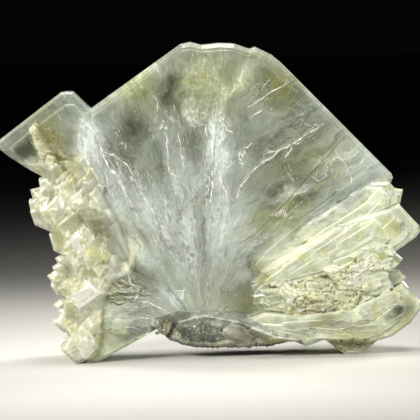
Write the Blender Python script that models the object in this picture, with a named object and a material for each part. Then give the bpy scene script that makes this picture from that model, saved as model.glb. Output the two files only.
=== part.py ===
"""Tunellite specimen: a fan of intergrown, see-through tabular crystals on a scrap of matrix.

Everything is drawn in the growth frame, in millimetres: X to the right, Z up, Y away from the
viewer, with the big fan plate lying in the XZ plane. The whole growth then leans a little to
one side, so that it stands at Z = 0 on the flat-cut ends of its two lowest crystals.
"""

import math
import random

import bmesh
import bpy
from mathutils import Matrix, Vector, noise

MM = 0.001

# How the specimen stands: where the floor meets its two feet, as (x, z), and where that leaves
# the growth frame's own origin, so that the specimen is centred over the world's.
LEFT_FOOT = (-16.0, 0.2)
RIGHT_FOOT = (17.8, 1.25)
STAND_AT = (-0.33, -0.75)

# The crystals all spread from this point, (x, z).
ROOT = (-1.0, 7.8)

# Each slab is a tabular crystal with a shape of its own: its outline as (x, z) points, the y of
# its front face, its thickness, how its faces lean (change of y for each mm of x and of z), and
# the width of the chamfer round its front and back. Its growth steps are thinner layers on both
# faces, each as (share of the outline that it covers, how far it stands proud).
FAN_PLATE = {
    "outline": [
        (-15.1, 31.5), (-3.7, 39.7), (-2.5, 39.95), (-1.1, 39.6), (1.2, 39.85), (3.0, 39.75),
        (4.9, 39.1), (5.6, 39.35), (7.6, 38.4), (9.0, 37.25), (22.6, 23.6), (22.8, 23.1),
        (22.4, 22.2), (21.0, 19.0), (12.0, 4.6), (1.0, 4.4), (-5.8, 5.4), (-12.6, 10.0),
        (-15.7, 20.0), (-16.1, 26.5),
    ],
    "front": -2.2, "thick": 4.6, "lean": (0.0, 0.012), "chamfer": 0.5,
}

# Long blades that spread over the fan plate's two faces, the proud ones over the edges of the
# low ones: from and to which angle (degrees up from +X, at the root), how far from the root
# each starts, how proud it stands at its far end, and how much it tips sideways (mm of y for
# each mm).
FAN_BLADES = [
    (123, 108, 7.0, 0.20, 0.006),
    (109, 95, 11.0, 0.10, 0.000),
    (96, 85, 4.0, 0.19, -0.004),
    (86, 60, 12.0, 0.09, 0.000),
    (61, 49, 9.0, 0.21, 0.005),
    (50, 38, 14.0, 0.11, 0.000),
    (39, 28, 8.0, 0.24, 0.008),
]
BLADE_SHORT = 0.8      # how far short of the plate's edge the blades stop

BACK_PLATES = [
    {
        "outline": [
            (-13.0, 25.5), (-2.6, 33.4), (4.4, 33.8), (18.4, 20.9), (17.0, 14.0), (9.0, 4.2),
            (-4.4, 5.8), (-12.0, 12.0),
        ],
        "front": 1.6, "thick": 2.5, "lean": (0.03, 0.02), "chamfer": 0.45,
        "steps": [(0.9, 0.35)],
    },
    {
        "outline": [
            (-10.6, 20.0), (-1.0, 27.2), (3.6, 26.6), (14.0, 15.8), (12.4, 8.0), (7.0, 3.8),
            (-6.0, 4.6), (-10.4, 11.0),
        ],
        "front": 3.2, "thick": 2.9, "lean": (-0.04, -0.03), "chamfer": 0.5,
        "steps": [(0.82, 0.5)],
    },
]

WING = {
    "outline": [
        (-26.7, 27.3), (-26.1, 27.9), (-18.6, 33.7), (-17.9, 33.8), (-17.1, 33.75),
        (-14.4, 31.1), (-9.0, 26.0), (-11.0, 19.0), (-16.0, 18.0), (-21.1, 23.3),
        (-22.4, 24.0), (-24.9, 25.6), (-26.3, 26.7),
    ],
    "front": -1.3, "thick": 3.4, "lean": (0.10, -0.05), "chamfer": 0.3,
    "steps": [(0.86, 0.25)],
}

LEFT_FLANK = {
    "outline": [
        (-15.0, 31.6), (-15.75, 31.0), (-16.5, 29.0), (-16.6, 26.5), (-16.0, 24.2),
        (-14.9, 21.8), (-12.9, 22.3), (-13.8, 26.5), (-14.3, 29.6),
    ],
    "front": -1.9, "thick": 3.8, "lean": (-0.30, 0.0), "chamfer": 0.2,
}

LEFT_CORE = {
    "outline": [
        (-20.3, 22.7), (-15.0, 27.0), (-9.0, 20.0), (-4.0, 8.0), (-6.1, 4.7), (-10.0, 2.5),
        (-14.6, 1.0), (-16.6, 1.6), (-17.8, 3.4), (-18.2, 7.0), (-18.3, 11.0), (-17.7, 14.0),
        (-18.9, 16.4), (-20.2, 18.0), (-20.9, 20.5),
    ],
    "front": -2.6, "thick": 6.4, "lean": (0.07, 0.03), "chamfer": 0.7,
}

RIGHT_CORE = {
    "outline": [
        (9.5, 15.4), (20.6, 22.2), (23.2, 19.8), (24.6, 17.0), (22.2, 14.2), (22.0, 12.0),
        (23.0, 10.0), (24.6, 7.6), (21.8, 4.1), (12.0, 3.9), (4.6, 5.4), (4.0, 9.4),
    ],
    "front": -3.0, "thick": 6.2, "lean": (-0.06, 0.02), "chamfer": 0.6,
}

# Blades that lie over the fan plate on the right, from the back one to the front one.
RIGHT_SLABS = [
    {   # top blade, its long upper edge straight
        "outline": [
            (10.6, 16.0), (11.5, 17.1), (17.0, 20.6), (20.0, 22.6), (22.2, 22.7),
            (23.6, 21.2), (23.3, 20.0), (18.9, 17.4), (15.1, 15.6), (11.4, 15.0),
        ],
        "front": -4.1, "thick": 2.6, "lean": (-0.07, 0.06), "chamfer": 0.3,
        "steps": [(0.88, 0.25)],
    },
    {   # long middle blade, with the clear pointed end
        "outline": [
            (6.3, 11.5), (7.4, 12.5), (11.4, 14.8), (16.4, 17.8), (18.2, 18.4), (22.0, 19.4),
            (23.4, 20.0), (25.9, 17.3), (26.0, 16.6), (25.5, 15.9), (22.7, 13.9),
            (18.9, 12.0), (13.9, 10.8), (8.4, 9.4),
        ],
        "front": -4.8, "thick": 3.0, "lean": (-0.06, 0.05), "chamfer": 0.35,
        "steps": [(0.9, 0.3), (0.74, 0.55)],
    },
    {   # short blade beside its left end
        "outline": [(5.1, 10.1), (6.7, 11.5), (9.6, 10.4), (10.2, 8.6), (6.6, 9.2)],
        "front": -4.0, "thick": 1.8, "lean": (-0.05, 0.09), "chamfer": 0.2,
    },
    {   # left end of the lower blades
        "outline": [
            (5.1, 8.6), (6.6, 9.4), (11.6, 9.9), (13.2, 7.6), (10.4, 6.0), (6.9, 6.3),
            (6.0, 7.4),
        ],
        "front": -4.5, "thick": 2.3, "lean": (-0.08, -0.06), "chamfer": 0.22,
        "steps": [(0.8, 0.25)],
    },
    {   # serrated crest in the middle of the right side
        "outline": [
            (17.0, 13.6), (20.4, 15.4), (22.5, 14.9), (23.05, 14.0), (22.7, 13.3),
            (23.3, 12.6), (22.5, 11.9), (19.4, 11.2),
        ],
        "front": -6.3, "thick": 3.0, "lean": (-0.03, 0.10), "chamfer": 0.25,
        "steps": [(0.8, 0.3)],
    },
    {   # plate whose cut edge runs down through the middle
        "outline": [
            (13.9, 11.9), (15.3, 12.7), (19.6, 12.4), (22.0, 11.1), (22.8, 9.6), (20.7, 8.6),
            (17.4, 9.0), (16.0, 9.8),
        ],
        "front": -6.0, "thick": 2.5, "lean": (-0.04, -0.07), "chamfer": 0.25,
        "steps": [(0.8, 0.3)],
    },
    {   # small tip under the crest
        "outline": [(20.0, 12.3), (23.5, 11.7), (24.3, 10.9), (23.6, 10.2), (21.2, 8.8)],
        "front": -5.0, "thick": 2.4, "lean": (-0.06, -0.02), "chamfer": 0.2,
    },
    {   # big lowest blade, with the clear blunt end
        "outline": [
            (3.9, 5.5), (6.7, 6.5), (11.4, 6.2), (15.1, 6.9), (21.6, 7.6), (22.7, 9.6),
            (23.7, 10.2), (26.1, 8.0), (26.15, 7.2), (24.9, 5.4), (22.5, 3.6), (20.1, 2.9),
            (14.0, 3.1), (11.9, 2.3), (10.6, 2.9), (7.4, 3.2), (5.1, 4.4),
        ],
        "front": -5.9, "thick": 3.4, "lean": (-0.05, -0.05), "chamfer": 0.35,
        "steps": [(0.88, 0.3)],
    },
    {   # bed of the dirty hollow between the crest and the lowest blade
        "outline": [
            (8.4, 8.8), (12.4, 11.0), (15.6, 10.6), (19.4, 9.6), (22.4, 9.8), (21.8, 7.0),
            (14.6, 6.0), (9.4, 6.2),
        ],
        "front": -5.1, "thick": 3.2, "lean": (-0.02, 0.08), "chamfer": 0.3,
    },
    {   # grainy crystal under it, which is the right foot
        "outline": [
            (13.2, 3.8), (16.0, 1.8), (17.0, 1.05), (18.5, 1.0), (20.4, 2.6), (21.7, 3.4),
            (17.6, 4.9),
        ],
        "front": -4.4, "thick": 8.6, "lean": (0.02, -0.04), "chamfer": 0.5,
    },
]

LEFT_SLABS = [
    {   # plate with the long ridge, over the outer tips
        "outline": [
            (-20.5, 19.0), (-17.9, 21.0), (-15.4, 19.8), (-13.6, 16.4), (-16.4, 15.4),
            (-19.6, 17.4),
        ],
        "front": -5.0, "thick": 2.8, "lean": (0.10, 0.05), "chamfer": 0.3,
        "steps": [(0.78, 0.3)],
    },
    {   # plate above it, under the wing
        "outline": [
            (-20.0, 22.0), (-17.4, 24.2), (-14.6, 22.4), (-13.9, 19.6), (-17.0, 19.4),
        ],
        "front": -4.0, "thick": 2.6, "lean": (0.08, 0.08), "chamfer": 0.3,
        "steps": [(0.76, 0.3)],
    },
    {   # pale block
        "outline": [(-17.3, 16.1), (-15.5, 15.5), (-14.4, 13.6), (-16.0, 12.7), (-17.9, 14.2)],
        "front": -5.6, "thick": 2.2, "lean": (0.16, -0.05), "chamfer": 0.3,
    },
    {   # pale rhomb
        "outline": [(-17.2, 9.1), (-15.2, 10.4), (-14.0, 8.6), (-15.3, 7.3)],
        "front": -5.4, "thick": 1.8, "lean": (0.09, 0.10), "chamfer": 0.25,
    },
    {   # block above the left foot
        "outline": [
            (-18.3, 1.7), (-17.2, 3.6), (-14.9, 3.4), (-14.1, 2.6), (-15.5, 0.5), (-16.7, 0.05),
        ],
        "front": -5.6, "thick": 10.6, "lean": (0.05, 0.06), "chamfer": 0.4,
        "steps": [(0.8, 0.25)],
    },
    {   # clear blade that runs from the root down to the left foot
        "outline": [
            (-15.7, 0.1), (-15.1, 0.0), (-14.0, 0.3), (-10.2, 2.3), (-6.1, 4.65), (-7.0, 6.6),
            (-10.4, 6.2), (-14.2, 4.4),
        ],
        "front": -4.6, "thick": 8.0, "lean": (0.03, 0.08), "chamfer": 0.35,
    },
    {   # striated fan between the root and the pale rhomb
        "outline": [
            (-14.6, 10.6), (-11.4, 12.4), (-5.2, 9.6), (-3.0, 6.4), (-7.4, 5.2), (-13.8, 5.2),
        ],
        "front": -4.3, "thick": 2.4, "lean": (0.06, -0.06), "chamfer": 0.3,
        "steps": [(0.84, 0.2)],
    },
]

# Pointed blades: each is the place of its tip (x, y, z), the way that its body runs from there
# (degrees up from +X), how far that body tips away from the viewer and how far it rolls about
# its own length (degrees), then its length, width and thickness.
LEFT_TIPS = [
    ((-21.3, -1.8, 22.9), -35, 8, 10, 6.0, 2.0, 1.9),
    ((-22.3, -1.2, 21.6), -30, 12, -14, 6.0, 1.8, 1.6),
    ((-22.55, -2.0, 20.25), -32, 6, 12, 7.0, 1.9, 1.8),
    ((-22.4, -2.6, 18.95), -24, 4, -8, 8.0, 2.6, 1.9),
    ((-20.9, -1.4, 17.7), -20, 10, 16, 8.0, 1.6, 1.8),
    ((-20.0, -3.0, 16.2), -28, 6, 8, 7.0, 3.0, 2.0),
    ((-19.3, -2.2, 13.1), -14, 6, -10, 7.0, 2.2, 1.9),
    ((-19.6, -3.0, 12.0), -10, 4, 8, 6.0, 1.2, 1.5),
    ((-20.3, -2.6, 10.9), -6, 4, -6, 8.0, 2.3, 2.0),
    ((-19.8, -3.4, 9.9), -12, 6, 12, 8.0, 2.0, 1.8),
    ((-19.6, -2.4, 7.2), -4, 6, -12, 8.0, 2.1, 1.9),
    ((-19.5, -3.2, 5.2), 2, 4, 10, 8.0, 2.5, 2.2),
    ((-18.2, -1.6, 3.0), 10, 6, -10, 7.0, 1.5, 1.8),
    ((-18.7, -3.0, 1.9), 8, 4, 6, 7.0, 2.4, 2.4),
]

RIGHT_TIPS = [
    ((24.1, -0.6, 21.4), -146, -8, 12, 9.0, 2.4, 2.0),
    ((23.3, 0.6, 14.6), -158, -10, -16, 8.0, 2.0, 1.8),
    ((24.0, -2.4, 12.9), -176, -6, 12, 7.0, 1.5, 1.5),
    ((24.8, 0.2, 9.0), 172, -10, 14, 8.0, 2.6, 2.2),
    ((23.4, -1.0, 4.6), 152, -8, -10, 8.0, 2.2, 2.2),
]

# The same kind of blades on the hidden side, where the growth is as full as in front.
BACK_TIPS = [
    ((-20.6, 4.6, 19.2), -28, -18, 20, 9.0, 3.2, 2.0),
    ((-18.4, 5.8, 14.4), -16, -24, -15, 10.0, 3.2, 2.2),
    ((-19.0, 6.4, 9.6), -4, -26, 18, 11.0, 3.4, 2.4),
    ((-17.6, 6.6, 4.6), 10, -22, -12, 10.0, 3.6, 2.6),
    ((-13.4, 7.4, 11.0), -12, -30, 10, 9.0, 3.4, 2.2),
    ((-12.4, 6.2, 18.2), -38, -20, -16, 9.0, 3.0, 2.0),
    ((-8.7, 5.9, 18.4), -54, -5, 8, 15.0, 3.8, 2.4),
    ((-5.0, 6.3, 22.2), -74, -4, -6, 17.0, 3.4, 2.4),
    ((-0.6, 6.4, 20.6), -92, -5, 7, 15.0, 4.2, 2.4),
    ((4.0, 6.2, 22.0), -110, -4, -8, 17.0, 3.8, 2.4),
    ((8.6, 6.1, 18.6), -132, -5, 6, 15.0, 4.0, 2.4),
    ((15.2, 6.4, 17.6), -146, -18, -18, 9.0, 3.2, 2.0),
    ((21.4, 4.4, 15.4), -156, -14, 16, 10.0, 3.4, 2.0),
    ((20.8, 6.2, 10.0), -172, -20, -14, 11.0, 3.6, 2.4),
    ((18.4, 6.6, 5.4), 176, -18, 10, 10.0, 3.4, 2.6),
    ((12.6, 7.8, 9.0), -170, -28, 14, 9.0, 3.2, 2.2),
]

# Small blades heaped over the two sides: how many, along which line, how far off it in x and
# z, the y of their tips, which way they run at its two ends, and their length and width.
HEAP_SEED = 7
HEAPS = {
    "seam": {
        "count": 9, "from": (-20.2, 27.0), "to": (-16.0, 21.0), "off": (1.0, 0.9),
        "front": -3.0, "heading": (-60, -20), "long": (2.4, 3.6), "wide": (1.1, 1.9),
    },
    "left_side": {
        "count": 16, "from": (-17.6, 20.4), "to": (-15.6, 3.4), "off": (1.7, 0.9),
        "front": -5.0, "heading": (-35, 12), "long": (3.3, 5.1), "wide": (1.8, 2.7),
    },
    "right_side": {
        "count": 12, "from": (11.4, 8.0), "to": (21.2, 8.2), "off": (1.0, 0.9),
        "front": -6.1, "heading": (150, 215), "long": (2.4, 3.9), "wide": (1.3, 2.1),
    },
}

# The scrap of matrix under the root: its middle, its half sizes, and the gap left round it.
MATRIX_MIDDLE = (2.9, 0.9, 3.8)
MATRIX_HALF = (8.0, 4.6, 2.0)
MATRIX_GAP = 0.3
MATRIX_LUMPS = [(0.20, 2.3), (0.10, 5.7)]   # how deep the lumps are and how close together

POINT_ANGLE = 43       # half of a blade's pointed end, in degrees
TIP_CHAMFER = 0.13     # a pointed blade's chamfer, as a share of its thickness
STEP_CHAMFER = 0.15    # the chamfer of a growth step
BLADE_CHAMFER = 0.06   # the chamfer of a blade on the fan plate
FOOT_CUT = 4.0         # how far the block that cuts the feet flat reaches down
CUT_REACH = 40.0       # and to each side


def clear_scene():
    for old in list(bpy.data.objects):
        bpy.data.objects.remove(old)


def crystal_material():
    """Pale, glassy, faintly olive crystal."""
    material = bpy.data.materials.new("crystal")
    material.use_nodes = True
    shader = material.node_tree.nodes["Principled BSDF"]
    shader.inputs["Base Color"].default_value = (0.66, 0.66, 0.52, 1.0)
    shader.inputs["Roughness"].default_value = 0.12
    shader.inputs["IOR"].default_value = 1.53
    shader.inputs["Transmission Weight"].default_value = 0.6
    return material


def matrix_material():
    """Dull grey-olive clay."""
    material = bpy.data.materials.new("matrix")
    material.use_nodes = True
    shader = material.node_tree.nodes["Principled BSDF"]
    shader.inputs["Base Color"].default_value = (0.14, 0.14, 0.11, 1.0)
    shader.inputs["Roughness"].default_value = 0.8
    return material


def mesh_object(name, shape):
    """A new object from a bmesh drawn in millimetres."""
    bmesh.ops.recalc_face_normals(shape, faces=shape.faces)
    bmesh.ops.scale(shape, vec=Vector((MM, MM, MM)), verts=shape.verts)
    mesh = bpy.data.meshes.new(name)
    shape.to_mesh(mesh)
    shape.free()
    made = bpy.data.objects.new(name, mesh)
    bpy.context.scene.collection.objects.link(made)
    return made


def prism(outline, thickness, chamfer):
    """A bmesh prism: outline in XZ with its front at y = 0, chamfered round both ends."""
    shape = bmesh.new()
    front = shape.faces.new([shape.verts.new((x, 0.0, z)) for x, z in outline])
    drawn = bmesh.ops.extrude_face_region(shape, geom=[front])
    back = [v for v in drawn["geom"] if isinstance(v, bmesh.types.BMVert)]
    bmesh.ops.translate(shape, vec=(0.0, thickness, 0.0), verts=back)
    rims = [e for e in shape.edges if abs(e.verts[0].co.y - e.verts[1].co.y) < 1e-6]
    bmesh.ops.bevel(
        shape, geom=rims, offset=chamfer, segments=1, affect="EDGES", clamp_overlap=True
    )
    return shape


def tabular(name, outline, front, thickness, lean, pivot, chamfer):
    """A tabular crystal, whose two faces lean together about the pivot (x, z)."""
    shape = prism(outline, thickness, chamfer)
    for vert in shape.verts:
        x, y, z = vert.co
        vert.co.y = y + front + lean[0] * (x - pivot[0]) + lean[1] * (z - pivot[1])
    return mesh_object(name, shape)


def middle(outline):
    return (sum(x for x, _ in outline) / len(outline), sum(z for _, z in outline) / len(outline))


def slab(name, shape_of):
    """A tabular crystal from a table above, with its growth steps as objects of their own."""
    outline, front, thick = shape_of["outline"], shape_of["front"], shape_of["thick"]
    pivot = middle(outline)
    made = [tabular(name, outline, front, thick, shape_of["lean"], pivot, shape_of["chamfer"])]
    # The steps shrink towards the end that is nearest the root, where every layer began.
    anchor = Vector(min(outline, key=lambda point: math.dist(point, ROOT)))
    for i, (share, proud) in enumerate(shape_of.get("steps", [])):
        layer = [anchor.lerp(Vector(point), share) for point in outline]
        inward = (Vector(middle(outline)) - anchor) * (1 - share) * 0.5
        layer = [(p.x + inward.x, p.y + inward.y) for p in layer]
        made.append(
            tabular(
                f"{name}_step_{i}", layer, front - proud, thick + 2 * proud,
                shape_of["lean"], pivot, STEP_CHAMFER,
            )
        )
    return made


def reach(outline, angle):
    """How far the outline is from the root, along the angle."""
    way = Vector((math.cos(angle), math.sin(angle)))
    side = Vector((-way.y, way.x))
    points = [Vector(point) - Vector(ROOT) for point in outline]
    found = []
    for one, two in zip(points, points[1:] + points[:1]):
        a, b = one.dot(side), two.dot(side)
        if a * b <= 0 and a != b:
            hit = one.lerp(two, a / (a - b))
            if hit.dot(way) > 0:
                found.append(hit.dot(way))
    return max(found)


def fan_blades():
    """The long blades on the front and the back of the fan plate."""
    outline, thick = FAN_PLATE["outline"], FAN_PLATE["thick"]
    made = []
    for i, (high, low, start, proud, tip) in enumerate(FAN_BLADES):
        low, high = math.radians(low), math.radians(high)
        corners = [
            math.atan2(z - ROOT[1], x - ROOT[0]) for x, z in outline if z > ROOT[1]
        ]
        angles = [low] + sorted(a for a in corners if low + 0.02 < a < high - 0.02) + [high]
        points = [(a, reach(outline, a) - BLADE_SHORT) for a in angles]
        points += [(high - 0.03, start + 2.0), ((low + high) / 2, start), (low + 0.03, start + 2.0)]
        shape = [(ROOT[0] + r * math.cos(a), ROOT[1] + r * math.sin(a)) for a, r in points]
        mid = (low + high) / 2
        rise = -proud / reach(outline, mid)
        lean_x = rise * math.cos(mid) - tip * math.sin(mid)
        lean_z = rise * math.sin(mid) + tip * math.cos(mid)
        front = FAN_PLATE["front"] + FAN_PLATE["lean"][1] * (ROOT[1] - middle(outline)[1])
        lean_z += FAN_PLATE["lean"][1]
        made.append(
            tabular(
                f"fan_blade_{i}", shape, front, thick + proud, (lean_x, lean_z), ROOT,
                BLADE_CHAMFER,
            )
        )
    return made


def blade(name, tip, heading, pitch, roll, length, width, thickness):
    """A pointed tabular crystal, which runs from its tip along heading."""
    point = (width / 2) / math.tan(math.radians(POINT_ANGLE))
    half = width / 2
    outline = [(0.0, 0.0), (point, half), (length, half), (length, -half), (point * 0.9, -half)]
    shape = prism(outline, thickness, TIP_CHAMFER * thickness)
    turn = (
        Matrix.Rotation(math.radians(-heading), 4, "Y")
        @ Matrix.Rotation(math.radians(pitch), 4, "Z")
        @ Matrix.Rotation(math.radians(roll), 4, "X")
    )
    centred = Matrix.Translation((0.0, -thickness / 2, 0.0))
    shape.transform(Matrix.Translation(tip) @ turn @ centred)
    return mesh_object(name, shape)


def heap(name, pile, draw):
    """Small blades strewn along a line over the front of one side."""
    made = []
    (x0, z0), (x1, z1) = pile["from"], pile["to"]
    for i in range(pile["count"]):
        share = (i + 0.5) / pile["count"]
        x = x0 + (x1 - x0) * share + draw.uniform(-1, 1) * pile["off"][0]
        z = z0 + (z1 - z0) * share + draw.uniform(-1, 1) * pile["off"][1]
        low, high = pile["heading"]
        heading = low + (high - low) * share + draw.uniform(-10, 10)
        length, width = draw.uniform(*pile["long"]), draw.uniform(*pile["wide"])
        tip = (x, pile["front"] + draw.uniform(-0.5, 0.9), z)
        pitch, roll = draw.uniform(6, 22), draw.uniform(-22, 22)
        thickness = draw.uniform(1.2, 1.9)
        made.append(blade(f"{name}_{i}", tip, heading, pitch, roll, length, width, thickness))
    return made


def matrix_lump(name, grow):
    """The matrix as a lumpy stone, swollen by grow."""
    shape = bmesh.new()
    bmesh.ops.create_icosphere(shape, subdivisions=3, radius=1.0)
    for vert in shape.verts:
        way = vert.co.normalized()
        # A power under 1 squares the stone off; the noise breaks its faces up.
        boxed = Vector([math.copysign(abs(c) ** 0.6, c) for c in way])
        lump = 1.0 + sum(deep * noise.noise(way * close) for deep, close in MATRIX_LUMPS)
        vert.co = [
            centre + (half * lump + grow) * c
            for centre, half, c in zip(MATRIX_MIDDLE, MATRIX_HALF, boxed)
        ]
    return mesh_object(name, shape)


def floor_slope():
    """How far the growth leans as it stands on its two feet, in radians."""
    run = RIGHT_FOOT[0] - LEFT_FOOT[0]
    return math.atan2(RIGHT_FOOT[1] - LEFT_FOOT[1], run)


def floor_cutter():
    """A block whose top is the floor, as the growth frame sees it."""
    shape = bmesh.new()
    bmesh.ops.create_cube(shape, size=2.0)
    bmesh.ops.scale(shape, vec=(CUT_REACH, CUT_REACH, FOOT_CUT / 2), verts=shape.verts)
    bmesh.ops.translate(shape, vec=(0.0, 0.0, -FOOT_CUT / 2), verts=shape.verts)
    shape.transform(
        Matrix.Translation((LEFT_FOOT[0], 0.0, LEFT_FOOT[1]))
        @ Matrix.Rotation(-floor_slope(), 4, "Y")
    )
    return mesh_object("floor_cutter", shape)


def make_helper(helper):
    helper.hide_render = True
    helper.display_type = "WIRE"


def boolean(target, operation, operand):
    """A Boolean with one object, or with every object of a collection."""
    cut = target.modifiers.new(operation.lower(), "BOOLEAN")
    cut.operation = operation
    cut.solver = "EXACT"
    if isinstance(operand, bpy.types.Collection):
        cut.operand_type = "COLLECTION"
        cut.collection = operand
    else:
        cut.object = operand


def crystals():
    """Every crystal but the fan plate, as helpers that are joined to it."""
    draw = random.Random(HEAP_SEED)
    made = fan_blades()
    tables = {
        "back_plate": BACK_PLATES, "wing": [WING], "left_flank": [LEFT_FLANK],
        "left_core": [LEFT_CORE], "right_core": [RIGHT_CORE],
        "right_slab": RIGHT_SLABS, "left_slab": LEFT_SLABS,
    }
    for name, table in tables.items():
        for i, shape_of in enumerate(table):
            made += slab(f"{name}_{i}", shape_of)
    for name, table in (("left", LEFT_TIPS), ("right", RIGHT_TIPS), ("back", BACK_TIPS)):
        made += [blade(f"{name}_tip_{i}", *one) for i, one in enumerate(table)]
    for name, pile in HEAPS.items():
        made += heap(name, pile, draw)
    return made


def build():
    clear_scene()
    stand = bpy.data.objects.new("specimen", None)
    bpy.context.scene.collection.objects.link(stand)

    cluster = slab("crystal_cluster", FAN_PLATE)[0]
    cluster.data.materials.append(crystal_material())
    joined = bpy.data.collections.new("joined_crystals")
    bpy.context.scene.collection.children.link(joined)
    for one in crystals():
        bpy.context.scene.collection.objects.unlink(one)
        joined.objects.link(one)
        one.parent = stand
        make_helper(one)
    boolean(cluster, "UNION", joined)

    socket = matrix_lump("matrix_socket", MATRIX_GAP)
    boolean(cluster, "DIFFERENCE", socket)
    feet = floor_cutter()
    boolean(cluster, "DIFFERENCE", feet)
    matrix = matrix_lump("base_matrix", 0.0)
    matrix.data.materials.append(matrix_material())
    for one in (cluster, socket, feet, matrix):
        one.parent = stand
    make_helper(socket)
    make_helper(feet)

    slope = floor_slope()
    lift = LEFT_FOOT[1] * math.cos(slope) - LEFT_FOOT[0] * math.sin(slope)
    stand.rotation_euler = (0.0, slope, 0.0)
    stand.location = (STAND_AT[0] * MM, STAND_AT[1] * MM, -lift * MM)


build()
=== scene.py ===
# %% [markdown]
# # A tunellite specimen
# Tunellite is a clear borate mineral that grows as flat tablets. This specimen is a fan of
# tablets that all spread from one root: a big plate in the middle, a smaller one behind its
# left shoulder, and stepped heaps of short blades at both sides. The solids come from the
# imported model. This lesson gives them their finishes, and adds what is too fine for solids:
# healed cracks inside the crystal, young crystals, crusts and grit, and the lobes and rubble of
# the matrix.

import math
import random

import bpy
import numpy as np
from mathutils import Euler, Matrix, Vector, noise
from mathutils.bvhtree import BVHTree


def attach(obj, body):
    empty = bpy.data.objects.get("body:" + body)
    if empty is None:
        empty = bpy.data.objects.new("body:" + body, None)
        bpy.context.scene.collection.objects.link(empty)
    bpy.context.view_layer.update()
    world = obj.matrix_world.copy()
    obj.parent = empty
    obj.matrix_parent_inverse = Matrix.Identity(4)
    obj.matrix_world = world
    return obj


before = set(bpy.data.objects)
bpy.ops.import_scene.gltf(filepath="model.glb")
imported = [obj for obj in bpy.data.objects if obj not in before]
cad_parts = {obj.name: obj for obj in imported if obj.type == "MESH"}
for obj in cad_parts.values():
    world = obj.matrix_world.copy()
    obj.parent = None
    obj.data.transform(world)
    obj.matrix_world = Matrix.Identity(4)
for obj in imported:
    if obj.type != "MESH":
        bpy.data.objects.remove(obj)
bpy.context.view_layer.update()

# %% [markdown]
# ## One way to say where things are
# The fan was drawn upright in millimetres, with X to the right, Z up and Y away from the eye,
# and then leaned by less than two degrees to stand on its two feet. Places could be given in
# the world, but then each one would have the lean in it. So every place in this file is given
# in that drawing, and one matrix takes it to the world's metres.

# %% From the drawing to the world
MM = 0.001
LEFT_FOOT, RIGHT_FOOT = (-16.0, 0.2), (17.8, 1.25)    # x, z as drawn
LEAN = math.atan2(RIGHT_FOOT[1] - LEFT_FOOT[1], RIGHT_FOOT[0] - LEFT_FOOT[0])
LIFT = LEFT_FOOT[1] * math.cos(LEAN) - LEFT_FOOT[0] * math.sin(LEAN)
STANDS_AT = Vector((-0.33, -0.75, -LIFT)) * MM
DRAWN = Matrix.Translation(STANDS_AT) @ Matrix.Rotation(LEAN, 4, "Y") @ Matrix.Scale(MM, 4)
print(f"lean {math.degrees(LEAN):.2f} degrees, lift {LIFT:.3f} mm")

# %% [markdown]
# ## Camera
# The fan is seen square on and from slightly above, as it would be held at eye level. A long
# lens keeps it free of perspective. The camera takes the fan's lean as its roll, so that the
# fan stands in the picture as it was drawn.

# %% Camera
PICTURE_WIDTH = 52.5    # millimetres across the picture, at the fan
AIM = (0.0, -1.0, 19.0)
DISTANCE = 0.42    # metres
EYE_ELEVATION = math.radians(4.0)
FILM_WIDTH = 36.0    # millimetres

camera = bpy.data.objects.new("camera", bpy.data.cameras.new("camera"))
bpy.context.scene.collection.objects.link(camera)
camera.data.sensor_width = FILM_WIDTH
camera.data.lens = FILM_WIDTH * DISTANCE / (PICTURE_WIDTH * MM)
camera.data.clip_start = 0.01
eye = Vector((0.0, -math.cos(EYE_ELEVATION), math.sin(EYE_ELEVATION))) * DISTANCE
aim = DRAWN @ Vector(AIM)
looking = (-eye).to_track_quat("-Z", "Y").to_matrix().to_4x4()
camera.matrix_world = (
    Matrix.Translation(aim + eye) @ looking @ Matrix.Rotation(-LEAN, 4, "Z")
)
bpy.context.scene.camera = camera
print(f"lens {camera.data.lens:.0f} mm at {DISTANCE} m")

# %% [markdown]
# ## Materials are built from nodes
# A mineral's look is made of many layers, and they could be joined by hand in the node editor.
# Written down, they can be read and changed line by line. A few small helpers carry every
# material here: one turns a colour as a person writes it, in sRGB hex, into the linear numbers
# that Blender mixes, one fills in a node's inputs, and one adds a node of any kind with its
# settings and its links, and gives back the output that is wanted.

# %% Colour and node helpers
def linear(hexed, alpha=1.0):
    """An sRGB hex colour as linear RGBA."""
    channels = [int(hexed[i:i + 2], 16) / 255 for i in (1, 3, 5)]
    return tuple(
        c / 12.92 if c <= 0.04045 else ((c + 0.055) / 1.055) ** 2.4 for c in channels
    ) + (alpha,)


def fill(tree, node, inputs):
    """Fills in a node's inputs by position, or by name in a dict; a socket is linked."""
    for key, value in inputs.items() if isinstance(inputs, dict) else enumerate(inputs):
        if isinstance(value, bpy.types.NodeSocket):
            tree.links.new(value, node.inputs[key])
        else:
            node.inputs[key].default_value = value


def add(tree, kind, inputs=(), out=0, **settings):
    """Adds a node with its settings and its inputs, and gives one of its outputs."""
    node = tree.nodes.new("ShaderNode" + kind)
    for name, value in settings.items():
        setattr(node, name, value)
    fill(tree, node, inputs)
    return node.outputs[out]


def new_material(name):
    """A node material with its shader."""
    material = bpy.data.materials.new(name)
    material.use_nodes = True
    return material, material.node_tree, material.node_tree.nodes["Principled BSDF"]


print("the grey #808080 is", round(linear("#808080")[0], 3), "in linear numbers")

# %% [markdown]
# ## Floor
# The specimen stands on a plain pale sheet of paper. A curved backdrop would be lit all the
# way up, and the clear crystal would be lost against it. So it is one flat square, wide enough
# to reach out of the light. Its tone drifts a little, by a noise about 0.1 m wide, as paper
# does, and the paper is matt.

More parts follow.
